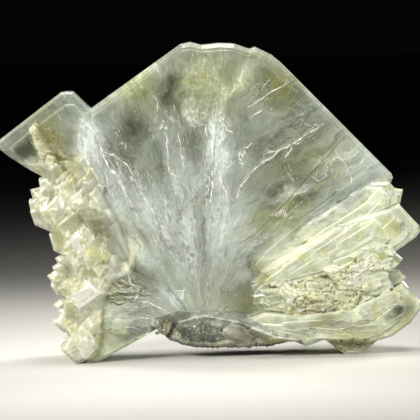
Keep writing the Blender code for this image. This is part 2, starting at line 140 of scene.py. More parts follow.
# %% Floor
FLOOR_HALF = 1.5    # metres
floor_mesh = bpy.data.meshes.new("floor")
floor_mesh.from_pydata(
    [(x * FLOOR_HALF, y * FLOOR_HALF, 0.0) for x, y in ((-1, -1), (1, -1), (1, 1), (-1, 1))],
    [], [(0, 1, 2, 3)],
)
floor = bpy.data.objects.new("floor", floor_mesh)
bpy.context.scene.collection.objects.link(floor)
paper, tree, shader = new_material("pale paper")
drift = add(tree, "TexNoise", {"Vector": add(tree, "TexCoord", out="Object"), "Scale": 9.0})
tone = add(
    tree, "Mix", {0: drift, 6: linear("#B9B7B1"), 7: linear("#C4C2BC")}, out=2, data_type="RGBA"
)
fill(tree, shader, {"Base Color": tone, "Roughness": 0.9})
floor.data.materials.append(paper)
print("floor", FLOOR_HALF * 2, "m across")

# %% [markdown]
# ## Light
# Bright all-round light would make a clear mineral vanish. So the light comes from five soft
# square lamps with a narrow spread, close to so small a thing. The key stands in front on the
# left and a weaker fill on the right, and they show the faces and their steps. Two lamps
# stand behind and one hangs above, and their light comes through the crystal. All their pools
# lie on the sheet around the fan and die away behind it, which leaves the fan standing
# against the dark: that is what makes glassy edges and milky veils show at all.

# %% Lamps
LAMPS = {
    # name: (place in metres, size in metres, watts, colour, spread in degrees)
    "key": ((-0.17, -0.21, 0.20), 0.12, 0.085, "#FFFBF4", 40),
    "fill": ((0.20, -0.22, 0.14), 0.14, 0.036, "#F8FAFF", 40),
    "rim left": ((-0.16, 0.12, 0.12), 0.10, 0.036, "#FFFFFF", 40),
    "rim right": ((0.16, 0.11, 0.13), 0.10, 0.036, "#FFFDF6", 40),
    "top": ((0.0, 0.02, 0.24), 0.10, 0.026, "#FFFFFF", 40),
}
for name, (place, size, watts, colour, spread) in LAMPS.items():
    light = bpy.data.lights.new(name, "AREA")
    light.shape = "SQUARE"
    light.size = size
    light.energy = watts
    light.color = linear(colour)[:3]
    light.spread = math.radians(spread)
    lamp = bpy.data.objects.new(name, light)
    lamp.location = place
    lamp.rotation_euler = (aim - Vector(place)).to_track_quat("-Z", "Y").to_euler()
    lamp.visible_camera = False
    bpy.context.scene.collection.objects.link(lamp)

world = bpy.data.worlds.new("studio")
world.use_nodes = True
background = world.node_tree.nodes["Background"]
fill(world.node_tree, background, {"Color": linear("#55585C"), "Strength": 0.015})
bpy.context.scene.world = world
bpy.context.scene.view_settings.view_transform = "Standard"
cycles = bpy.context.scene.cycles    # enough bounces for light to cross many blades
cycles.max_bounces = 16
cycles.transmission_bounces = 16
cycles.transparent_max_bounces = 24
print("lamps:", ", ".join(LAMPS))

# %% [markdown]
# ## Zones in the crystal
# What the eye sees in a clear mineral is what isn't clear. Where it is milky, stained or dark
# is a matter of growth, so it goes right through the plate. A painted picture would need the
# faces unwrapped, and would stop at their edges. Soft spots in the drawing's X and Z go
# through by themselves: a middle, half a width, half a height and a lean. Places are in
# millimetres, so a noise's scale is one over the size of its patches: 0.5 makes them 2 mm.

# %% Masks made of places
def drawing_place(tree):
    """The place on the surface, in the drawing's millimetres."""
    return add(
        tree, "Mapping",
        [add(tree, "TexCoord", out="Object"), tuple(STANDS_AT), (0.0, LEAN, 0.0), (MM, MM, MM)],
        vector_type="TEXTURE",
    )


def spots(tree, place, rows, sharp=0.0):
    """How strongly any of the soft spots covers each place: x, z, wide, tall, lean, weight."""
    strongest = None
    for x, z, wide, tall, lean, weight in rows:
        inside = add(
            tree, "Mapping",
            [place, (x, 0.0, z), (0.0, math.radians(lean), 0.0), (wide, 1000.0, tall)],
            vector_type="TEXTURE",
        )
        far = add(tree, "VectorMath", [inside], out="Value", operation="LENGTH")
        cover = add(
            tree, "MapRange", [far, 1.0, sharp, 0.0, weight], interpolation_type="SMOOTHSTEP"
        )
        strongest = cover if strongest is None else add(
            tree, "Math", [strongest, cover], operation="MAXIMUM"
        )
    return strongest


def beyond(tree, place, through, degrees, soft):
    """0 to 1 across a line through a point, rising towards degrees from +X."""
    way = Vector((math.cos(math.radians(degrees)), 0.0, math.sin(math.radians(degrees))))
    middle = Vector((through[0], 0.0, through[1])).dot(way)
    along = add(tree, "VectorMath", [place, tuple(way)], out="Value", operation="DOT_PRODUCT")
    return add(
        tree, "MapRange", [along, middle - soft, middle + soft], interpolation_type="SMOOTHSTEP"
    )


def fan_lines(tree, place, root, across, along, through):
    """A place that is stretched along lines from a root, for anything that grows out of it."""
    away = add(tree, "VectorMath", [place, root], operation="SUBTRACT")
    parts = add(tree, "SeparateXYZ", [away]).node.outputs
    turn = add(tree, "Math", [parts["X"], parts["Z"]], operation="ARCTAN2")
    flat = add(tree, "VectorMath", [away, (1.0, 0.0, 1.0)], operation="MULTIPLY")
    far = add(tree, "VectorMath", [flat], out="Value", operation="LENGTH")
    return add(
        tree, "CombineXYZ",
        [
            add(tree, "Math", [turn, across], operation="MULTIPLY"),
            add(tree, "Math", [far, along], operation="MULTIPLY"),
            add(tree, "Math", [parts["Y"], through], operation="MULTIPLY"),
        ],
    )


print("the drawing's middle stands at", [round(c / MM, 2) for c in STANDS_AT], "mm")

# %% [markdown]
# ## Where the zones lie
# The big plate is milky up its middle, where the growth is densest, and clear to either side.
# Its edges are frosted, its root is clear again, and yellow-green clay stains it in patches.
# Each kind of zone is one table, so that it can be read and moved like a list of places.

# %% Zones
# Each row is x, z, half a width, half a height, lean in degrees and weight.
WINDOWS = [    # clear and dark
    (-5.0, 33.6, 2.4, 6.2, -4, 0.9), (-9.4, 28.9, 5.0, 3.4, -30, 0.9),
    (4.0, 29.6, 2.4, 3.2, 0, 0.18), (9.6, 26.0, 9.0, 7.4, -36, 0.54),
    (10.6, 31.6, 8.4, 4.2, 46, 0.42), (-8.4, 11.4, 3.6, 1.6, 38, 0.7),
    (-11.0, 26.4, 3.8, 6.4, -25, 0.65), (-2.0, 27.0, 1.6, 4.6, -4, 0.45),
    (-6.6, 25.6, 2.0, 4.8, -12, 0.6), (1.6, 4.6, 5.4, 2.4, 0, 1.0),
    (5.0, 8.0, 5.0, 3.4, 0, 1.2), (7.4, 35.2, 1.4, 3.0, 42, 0.35),
    (5.6, 11.6, 2.4, 2.2, 0, 0.7), (-19.6, 30.8, 4.0, 2.6, -37, 0.1),
    (-23.4, 26.6, 3.4, 2.0, -35, 1.5), (23.6, 17.2, 1.4, 1.2, 0, 1.0),
    (24.0, 6.6, 2.8, 2.2, 30, 2.1), (7.0, 5.0, 3.0, 1.8, -20, 0.9),
    (-11.6, 3.4, 4.8, 2.2, -20, 1.1), (7.8, 21.0, 4.0, 2.0, -25, 0.7),
    (12.6, 21.4, 5.0, 1.2, -33, 0.6), (15.4, 4.8, 9.0, 2.0, 0, 1.35),
    (-0.8, 16.2, 0.7, 5.0, 3, 0.7),
]
MILK = [
    (0.8, 26.0, 2.4, 7.8, 0, 0.7), (1.8, 17.6, 5.0, 6.4, 0, 0.55),
    (-6.4, 18.4, 6.0, 7.4, -35, 0.35), (-12.4, 20.6, 2.8, 8.0, -30, 0.6),
    (-14.7, 27.6, 2.6, 5.0, -8, 1.2), (4.2, 35.6, 1.5, 4.6, 42, 0.7),
    (17.2, 25.2, 6.4, 4.8, 0, 0.48), (0.4, 27.6, 1.3, 6.0, 0, 0.36),
    (-8.6, 35.0, 8.0, 1.6, -33, 0.55), (11.0, 21.5, 6.4, 0.8, -14, 0.9),
    (-12.4, 18.4, 2.6, 5.6, -14, 0.5), (-9.4, 14.3, 4.2, 1.9, 40, 0.9),
    (-10.6, 9.0, 5.0, 2.0, 20, 0.35), (-2.8, 22.6, 5.0, 4.0, 0, 0.45),
    (-2.6, 16.4, 1.9, 8.6, -4, 0.55), (-4.2, 8.0, 3.2, 2.0, 30, 0.7),
    (14.6, 18.6, 5.0, 1.4, -33, 0.5), (19.6, 8.8, 2.2, 1.3, 0, 0.6),
    (19.8, 19.4, 4.6, 4.2, 0, 0.5), (14.8, 32.0, 10.0, 1.3, 46, 0.5),
    (11.4, 14.6, 4.6, 1.8, -33, 0.5), (22.6, 16.4, 3.0, 1.8, 0, 0.6),
]
STAINS = [    # yellow to olive
    (-0.9, 35.6, 1.5, 1.1, -20, 0.9), (-2.9, 34.9, 1.2, 1.0, 0, 0.8),
    (-9.0, 34.6, 3.8, 1.6, -37, 0.6), (5.2, 38.2, 3.0, 1.3, 20, 0.7),
    (-12.9, 16.4, 1.4, 2.6, -12, 0.8), (-19.8, 28.2, 2.6, 4.6, -35, 1.5),
    (-17.4, 24.0, 2.4, 3.6, -20, 1.3), (8.6, 18.6, 5.8, 2.0, -30, 1.0),
    (13.4, 21.8, 5.4, 1.0, -33, 0.6), (14.4, 8.6, 5.4, 2.4, 0, 0.6),
    (17.4, 3.6, 5.0, 2.8, 0, 1.0), (-6.0, 4.9, 2.0, 1.4, 0, 0.9),
    (6.6, 11.0, 2.6, 2.4, 30, 0.8), (-21.8, 31.0, 5.8, 1.0, -37, 0.6),
    (8.6, 34.6, 4.6, 1.9, 42, 0.75), (-13.6, 12.6, 1.4, 1.0, 0, 0.7),
    (-12.0, 10.0, 3.2, 1.3, 10, 1.0), (19.6, 14.2, 2.6, 1.4, 0, 0.4),
    (11.0, 13.2, 4.4, 0.9, -30, 0.4), (9.0, 24.0, 6.4, 3.6, -20, 0.5),
    (5.0, 7.6, 3.4, 1.6, 0, 0.7), (-15.6, 20.4, 1.4, 3.0, -10, 0.5),
]
TINTED = [    # a wide yellow-green cast, where the plate is thick and clean
    (0.0, 35.0, 12.0, 8.0, 0, 0.9), (14.0, 26.0, 8.0, 7.0, 0, 0.65),
    (-9.0, 34.0, 7.0, 6.0, 0, 0.9), (9.0, 18.0, 8.0, 5.0, -33, 0.9),
    (-11.6, 14.0, 5.0, 6.0, 0, 0.9), (-20.0, 28.0, 6.0, 8.0, 0, 0.5),
    (2.0, 6.0, 9.0, 4.0, 0, 0.4), (8.2, 34.4, 6.0, 5.6, 40, 1.0),
]
FROSTED = [    # granular clouds with a sharp rim, high on the plate
    (-1.2, 35.2, 2.7, 3.3, 8, 0.55), (-2.0, 31.6, 2.0, 2.0, 0, 0.8),
    (0.9, 29.6, 1.2, 2.8, 0, 0.7), (0.9, 33.4, 1.6, 2.6, 0, 0.5),
]
STREAK_ROOT, BLADE_ROOT = (-1.0, 0.0, 4.0), (-1.0, 0.0, 9.5)
print(len(WINDOWS), "windows,", len(MILK), "milky zones,", len(STAINS), "stains")

# %% [markdown]
# ## The crystal, first its zones
# Tunellite is colourless, with an index of refraction of about 1.53, and cleaves to bright
# faces. Clear glass with a scattering volume in it would be truest, but slow and grainy. So
# it is clear glass with a plain absorption, and zones say where it turns milky or cream. The
# first step reads all the zones, in a place that noise has bent a little: waves of about 3 mm
# for broad shapes and of 0.6 mm for rims, so that no spot keeps a smooth outline.

# %% Zone masks
crystal, tree, shader = new_material("tunellite")
place = drawing_place(tree)


def bend(tree, place, scale, reach):
    """The place, pushed about by noise, by up to about a third of reach in millimetres."""
    push = add(tree, "TexNoise", {"Vector": place, "Scale": scale, "Detail": 3.0}, out="Color")
    push = add(tree, "VectorMath", [push, (0.5, 0.5, 0.5)], operation="SUBTRACT")
    return add(tree, "VectorMath", [push, (reach, 0.0, reach), place], operation="MULTIPLY_ADD")


# The broad zones are bent once and the others twice. That also keeps the renderer from
# holding all the zones in hand at once: its room for that is small.
swayed = bend(tree, place, 0.35, 3.4)
bent = bend(tree, swayed, 1.6, 1.0)
windows = spots(tree, swayed, WINDOWS)
tinted = spots(tree, swayed, TINTED)
milky = spots(tree, bent, MILK)
stains = spots(tree, bent, STAINS)
frosted = spots(tree, bend(tree, place, 2.6, 0.7), FROSTED, 0.72)
right_side = add(
    tree, "Math",
    [beyond(tree, bent, (9.6, 16.0), -60.0, 1.0), beyond(tree, bent, (5.0, 7.0), -10.0, 1.0)],
    operation="MULTIPLY",
)
left_side = add(
    tree, "Math",
    [beyond(tree, bent, (-13.0, 15.0), 192.0, 1.6), beyond(tree, bent, (-16.0, 26.0), -80.0, 1.6)],
    operation="MULTIPLY",
)
sides = add(tree, "Math", [right_side, left_side], operation="MAXIMUM")    # stepped heaps
right_half = beyond(tree, bent, (5.5, 24.0), -15.0, 3.5)
print("zone nodes:", len(tree.nodes))

# %% [markdown]
# ## Then its grain
# The plate is a bundle of thin blades, so its milk is combed into fine streaks along the
# growth. In the left half and middle they fan out from the root, about 0.2 mm apart, in
# sheaves of about 1 mm. On the right they run side by side, at 31 degrees. In the heaps at
# the sides they follow each blade. Lines modelled one by one would never be enough. Noise on
# a stretched place gives all of them, and one soft noise adds clouds. The finest real fibres
# are too thin to show, so the streaks are drawn as coarse as they need to be.

# %% Grain
SLANT = (0.0, math.radians(-31.0), 0.0)
BAND, FINE_BAND = (11.0, 3.0, 0.9), (5.0, 2.0, 0.24)    # millimetres along, through and across
slanted_place, slanted_fine_place = (
    add(tree, "Mapping", [swayed, (0.0, 0.0, 0.0), SLANT, size], vector_type="TEXTURE")
    for size in (BAND, FINE_BAND)
)
GRAIN = [    # the stretched place, then the noise's detail, roughness and swirl
    (fan_lines(tree, bent, STREAK_ROOT, 95.0, 0.32, 0.4), 3.0, 0.65, 0.25),
    (fan_lines(tree, bent, STREAK_ROOT, 22.0, 0.20, 0.3), 4.0, 0.60, 0.25),
    (fan_lines(tree, bent, BLADE_ROOT, 90.0, 0.20, 0.8), 3.0, 0.65, 0.4),
    (fan_lines(tree, bent, BLADE_ROOT, 20.0, 0.22, 0.5), 4.0, 0.60, 0.4),
    (slanted_place, 3.0, 0.50, 0.1),
    (slanted_fine_place, 3.0, 0.50, 0.1),
    (fan_lines(tree, bent, STREAK_ROOT, 8.0, 0.30, 0.3), 5.0, 0.55, 0.1),
]
streaks, sheaves, blade_grain, blade_bands, slanted, slanted_fine, clouds = (
    add(
        tree, "TexNoise",
        {"Vector": where, "Scale": 1.0, "Detail": detail, "Roughness": rough,
         "Distortion": swirl},
    )
    for where, detail, rough, swirl in GRAIN
)
mottling = add(tree, "TexNoise", {"Vector": place, "Scale": 2.4, "Detail": 4.0, "Roughness": 0.7})
combed = add(tree, "Mix", {0: right_half, 2: streaks, 3: slanted_fine})
combed = add(tree, "Mix", {0: sides, 2: combed, 3: blade_grain})
bands = add(tree, "Mix", {0: right_half, 2: sheaves, 3: slanted})
bands = add(tree, "Mix", {0: sides, 2: bands, 3: blade_bands})
print("with the grain:", len(tree.nodes))

# %% [markdown]
# ## Its edges and nooks
# Edges are faintly chipped, and each blade is drawn in a pale line, partly those chips and
# partly a painted highlight. Chips could be cut into the mesh, but they are far finer than
# its faces. So edges are found by how far the normal would turn if they were rounded off: a
# narrow band of chips and painted highlight right on the edge, and a wide one, a painted glow
# where light that runs inside the crystal comes out. The nooks between blades are darkened,
# partly by clay that stayed there and partly as painted shade. They are found by how little
# of the sky is seen from there.

# %% Edges and nooks
facing = add(tree, "NewGeometry", out="Normal")
turned_near, turned_wide = (
    add(
        tree, "VectorMath", [add(tree, "Bevel", [radius], samples=samples), facing],
        out="Value", operation="DOT_PRODUCT",
    )
    for radius, samples in ((0.14 * MM, 4), (0.8 * MM, 6))
)
# The narrow band is partly chips and partly a painted highlight; the wide one is a painted glow.
edges = add(tree, "MapRange", [turned_near, 0.995, 0.86], interpolation_type="SMOOTHSTEP")
painted_edge_glow = add(tree, "MapRange", [turned_wide, 0.999, 0.86], interpolation_type="SMOOTHSTEP")
# Inside the big plate's rim the edges are the steps of its face, and much fainter.
rim = spots(tree, place, [(1.5, 22.0, 17.5, 17.0, 0, 1.0)], 0.86)
face = add(tree, "Math", [1.0, sides], operation="SUBTRACT")
inner = add(tree, "MapRange", [rim, 0.0, 1.0, 0.55, 0.90])
quiet = add(tree, "Math", [inner, face], operation="MULTIPLY")
quiet = add(tree, "Math", [1.0, quiet], operation="SUBTRACT")
edges = add(tree, "Math", [edges, quiet], operation="MULTIPLY")
painted_edge_glow = add(tree, "Math", [painted_edge_glow, quiet], operation="MULTIPLY")
open_sky = add(
    tree, "AmbientOcclusion", {"Distance": 0.9 * MM}, out="AO", samples=6, only_local=True
)
nooks = add(tree, "MapRange", [open_sky, 0.60, 0.20], interpolation_type="SMOOTHSTEP")
clay_here = add(tree, "Math", [sides, 0.4], operation="MULTIPLY")
clay_here = add(tree, "Math", [clay_here, stains], operation="MAXIMUM")
# Nooks in clay zones are darkened: partly clay, partly painted shade.
clay_and_shade_in_nooks = add(tree, "Math", [nooks, clay_here], operation="MULTIPLY")
print("with edges:", len(tree.nodes))

# %% [markdown]
# ## Its milk
# Milkiness is the amount of tiny gaps in the crystal. A layer of its own for each cause would
# be hard to balance. So one number says how milky each place is, from 0, water clear, to 1,
# white, and the zones, the clouds and the grain are added up to it. The grain counts more
# where there is more milk.

# %% Milk
milk = add(tree, "Math", [clouds, 0.50, 0.05], operation="MULTIPLY_ADD")
# The wide edge band adds a painted glow to the milk.
for mask, strength in (
    (mottling, 0.18), (milky, 0.50), (windows, -0.34), (sides, 0.30), (painted_edge_glow, 0.16)
):
    milk = add(tree, "Math", [mask, strength, milk], operation="MULTIPLY_ADD")
comb = add(tree, "Math", [combed, bands])
comb = add(tree, "Math", [comb, 1.0], operation="SUBTRACT")
combing = add(tree, "MapRange", [milky, 0.0, 0.8, 0.45, 1.1])
milk = add(tree, "Math", [comb, combing, milk], operation="MULTIPLY_ADD")
frosting_here = add(tree, "MapRange", [mottling, 0.40, 0.60, 0.10, 0.46])
milk = add(tree, "Math", [frosted, frosting_here, milk], operation="MULTIPLY_ADD")
milk = add(tree, "Math", [milk, 0.0], use_clamp=True)
print("with the milk:", len(tree.nodes))

# %% [markdown]
# ## Its tints
# The mineral has a faint yellow-green cast where it is thick, and clay gives it olive stains,
# cream and straw-coloured patches in the blades at the sides. Its nooks are brown, partly
# from clay and partly as painted shade. Mixing all of them at once would turn them to mud.
# Each tint is laid over the ones before, and the chipped edges, with their painted
# highlight, come last, for nothing covers them.

# %% Tints
mottled = add(tree, "Math", [clouds, bands])
mottled = add(tree, "MapRange", [mottled, 0.75, 1.25, 0.25, 1.0])
patches = add(tree, "TexNoise", {"Vector": bent, "Scale": 0.42, "Detail": 5.0})
cream, straw_here = (
    add(
        tree, "Math",
        [add(tree, "MapRange", [patches, *ends], interpolation_type="SMOOTHSTEP"), sides],
        operation="MULTIPLY",
    )
    for ends in ((0.50, 0.66), (0.50, 0.32))
)
side_cast = add(tree, "Math", [sides, 0.55], operation="MULTIPLY")
cast = add(tree, "Math", [side_cast, tinted], operation="MAXIMUM")
olive = add(tree, "Math", [stains, mottled], operation="MULTIPLY")
# The nooks' brown is partly painted shade, and the edges' near-white partly a painted highlight.
tints = [
    # factor, how it is laid on, colour
    (milk, "MIX", "#ECF4F2"), (cast, "MULTIPLY", "#EEF0C2"), (cream, "MIX", "#EBEEC9"),
    (straw_here, "MIX", "#C9CC98"),
    (olive, "MIX", "#B3AF66"), (clay_and_shade_in_nooks, "MIX", "#6B6136"), (edges, "MIX", "#FDFDEE"),
]
colour = linear("#A6AE98")
for factor, way, tint in tints:
    colour = add(
        tree, "Mix", {0: factor, 6: colour, 7: linear(tint)}, out=2, data_type="RGBA",
        blend_type=way,
    )
tree.links.new(colour, shader.inputs["Base Color"])
print(len(tints), "tints")

# %% [markdown]
# ## Its shader
# Tunellite as it grew: clear places are glossy and let most light through, while milky ones
# scatter it and look like frosted glass. Full transmission with the milk as a second shader
# would cost time and gain little, so one shader carries both, driven by the milk. A faint
# relief of growth lines breaks up the gloss, and a plain absorption turns thick places a
# little yellow-green.

# %% Tunellite
cloudy = add(tree, "MapRange", [milk, 0.0, 1.0, 0.16, 0.90])
for mask, strength in ((edges, 0.75), (clay_and_shade_in_nooks, 0.95), (olive, 0.5)):
    strong = add(tree, "Math", [mask, strength], operation="MULTIPLY")
    cloudy = add(tree, "Math", [cloudy, strong], operation="MAXIMUM")
gloss = add(tree, "MapRange", [milk, 0.0, 1.0, 0.08, 0.34])    # cleaved to frosted
chipped = add(tree, "MapRange", [turned_wide, 0.998, 0.90, 0.0, 0.5])
relief = add(tree, "Math", [clouds, 0.6, combed], operation="MULTIPLY_ADD")
fill(tree, shader, {
    "Transmission Weight": add(tree, "Math", [1.0, cloudy], operation="SUBTRACT"),
    "Roughness": add(tree, "Math", [gloss, chipped], operation="MAXIMUM"),
    "Normal": add(tree, "Bump", {"Strength": 0.6, "Distance": 0.06 * MM, "Height": relief}),
    "IOR": 1.53,
})
ABSORBED = 115.0    # per metre, so that a few millimetres of crystal begin to show it
absorption = add(tree, "VolumeAbsorption", [linear("#DDE0BA"), ABSORBED])
fill(tree, tree.nodes["Material Output"], {"Volume": absorption})

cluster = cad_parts["crystal_cluster"]
cluster.data.materials.clear()
cluster.data.materials.append(crystal)
print("crystal nodes:", len(tree.nodes))

# %% [markdown]
# ## The matrix
# The scrap that the crystals grew from is a crust of grey, half clear crystal grains with some
# clay between them. Its sparkle is painted: each grain has a bright middle whichever way it
# faces, and thin rims carry a painted highlight. On the lobes the hollows are painted darker
# as shade. The grains could be modelled, and some are, further on. The rest are cells of
# about 0.4 mm with a painted bright middle, over patches of about 1.5 mm, because so many are
# cheaper as a pattern. One maker of grey crystal does for the crust, and later for the lobes
# on it.

# %% Grey crystal
def grey_crystal(name, dark, light, painted_glint, through):
    """Grey granular crystal: its dark and light tones, the tone of its painted glints, what it
    lets by.
    """
    made, tree, shader = new_material(name)
    place = drawing_place(tree)
    grains = add(tree, "TexVoronoi", {"Vector": place, "Scale": 2.6})    # 0.4 mm
    mottle = add(
        tree, "TexNoise", {"Vector": place, "Scale": 0.7, "Detail": 5.0, "Roughness": 0.65}
    )
    mottle = add(tree, "MapRange", [mottle, 0.38, 0.62])
    # Each cell's bright middle is a painted glint, whichever way it faces.
    bright = add(tree, "MapRange", [grains, 0.30, 0.08], interpolation_type="SMOOTHSTEP")
    turned = add(
        tree, "VectorMath",
        [add(tree, "Bevel", [0.16 * MM], samples=4), add(tree, "NewGeometry", out="Normal")],
        out="Value", operation="DOT_PRODUCT",
    )
    # Thin rims get a painted highlight.
    rims = add(tree, "MapRange", [turned, 0.98, 0.70, 0.0, 0.8], interpolation_type="SMOOTHSTEP")
    # The lobes carry three marks at each corner: how white, with painted highlights on rims,
    # how yellow, and how deep in a nook, which is painted shade.
    marks = add(tree, "Attribute", out="Vector", attribute_name="growth")
    marks = add(tree, "SeparateXYZ", [marks]).node.outputs
    yellow, nook, white = (
        add(tree, "Math", [marks[axis], 0.0], use_clamp=True) for axis in "YZX"
    )
    tone = linear(dark)
    for factor, tint in (
        (mottle, light), (yellow, "#ABA66A"), (nook, "#45463A"), (white, painted_glint),
        (bright, painted_glint), (rims, painted_glint),
    ):
        tone = add(tree, "Mix", {0: factor, 6: tone, 7: linear(tint)}, out=2, data_type="RGBA")
    fill(tree, shader, {
        "Base Color": tone,
        "Transmission Weight": add(tree, "MapRange", [mottle, 0.0, 1.0, through, 0.4 * through]),
        "Roughness": add(tree, "MapRange", [bright, 0.0, 1.0, 0.45, 0.12]),
        "Normal": add(tree, "Bump", {"Strength": 0.5, "Distance": 0.12 * MM, "Height": grains}),
        "IOR": 1.53,
    })
    return made


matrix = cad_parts["base_matrix"]
matrix.data.materials.clear()
matrix.data.materials.append(
    grey_crystal("crystalline crust", "#5E6052", "#9A9D8B", "#C9CCBC", 0.2)
)
print("matrix in", matrix.data.materials[0].name)

# %% [markdown]
# ## Finding the surface
# Everything that is added sits on the solids or is let into them. Depths could be written
# down for each piece, but there are thousands. Instead a ray shot along the drawing's Y, from
# in front or from behind, finds the face that carries a piece, and how that face is turned.

# %% Rays on the solids
def tree_of(name):
    """A search tree of a solid's faces, in the world's metres."""
    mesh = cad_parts[name].data
    return BVHTree.FromPolygons(
        [v.co.copy() for v in mesh.vertices], [tuple(p.vertices) for p in mesh.polygons]
    )


CRYSTAL_TREE, MATRIX_TREE = tree_of("crystal_cluster"), tree_of("base_matrix")
UNDRAWN = DRAWN.inverted()
OUTSIDE = 20.0    # millimetres from the middle, clear of the fan


def surface(x, z, side=-1, tree=CRYSTAL_TREE):
    """The drawing's y and the normal of the face at x, z, seen from side -1 (front) or 1."""
    start = DRAWN @ Vector((x, OUTSIDE * side, z))
    hit, normal, _, _ = tree.ray_cast(start, Vector((0.0, -side, 0.0)))
    if hit is None:
        return None, None
    return (UNDRAWN @ hit).y, (UNDRAWN.to_3x3() @ normal).normalized()


def piece(name, corners, faces, material):
    """A new piece of the specimen from corners in the drawing's millimetres."""
    mesh = bpy.data.meshes.new(name)
    mesh.from_pydata([DRAWN @ Vector(c) for c in corners], [], faces)
    mesh.update()
    mesh.materials.append(material)
    made = bpy.data.objects.new(name, mesh)
    bpy.context.scene.collection.objects.link(made)
    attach(made, "root")
    mesh.calc_loop_triangles()
    print(f"{name}: {len(mesh.loop_triangles)} triangles")
    return made


chance = random.Random(11)
noise.seed_set(3)    # without it, noise vectors come from the clock and differ each run


def in_oval(x, z, wide, tall, lean, count):
    """Random places in an oval zone of the drawing."""
    turned = Matrix.Rotation(-math.radians(lean), 2)
    for _ in range(count):
        out, turn = math.sqrt(chance.random()), chance.uniform(0.0, 2 * math.pi)
        yield Vector((x, z)) + turned @ Vector((
            wide * out * math.cos(turn), tall * out * math.sin(turn)
        ))


print("middle of the plate's front at y =", round(surface(0.5, 20.0)[0], 2), "mm")

# %% [markdown]
# ## Healed cracks
# The brightest marks in the plate are cracks that have grown together again. They could come
# from a cracked pattern, but these few are what the eye knows the fan by: long ones that lean
# out from the root, a branching one across the right half, a round healed bruise beside it.
# So each has a row: its width at the face and its depth, in millimetres, and its line.

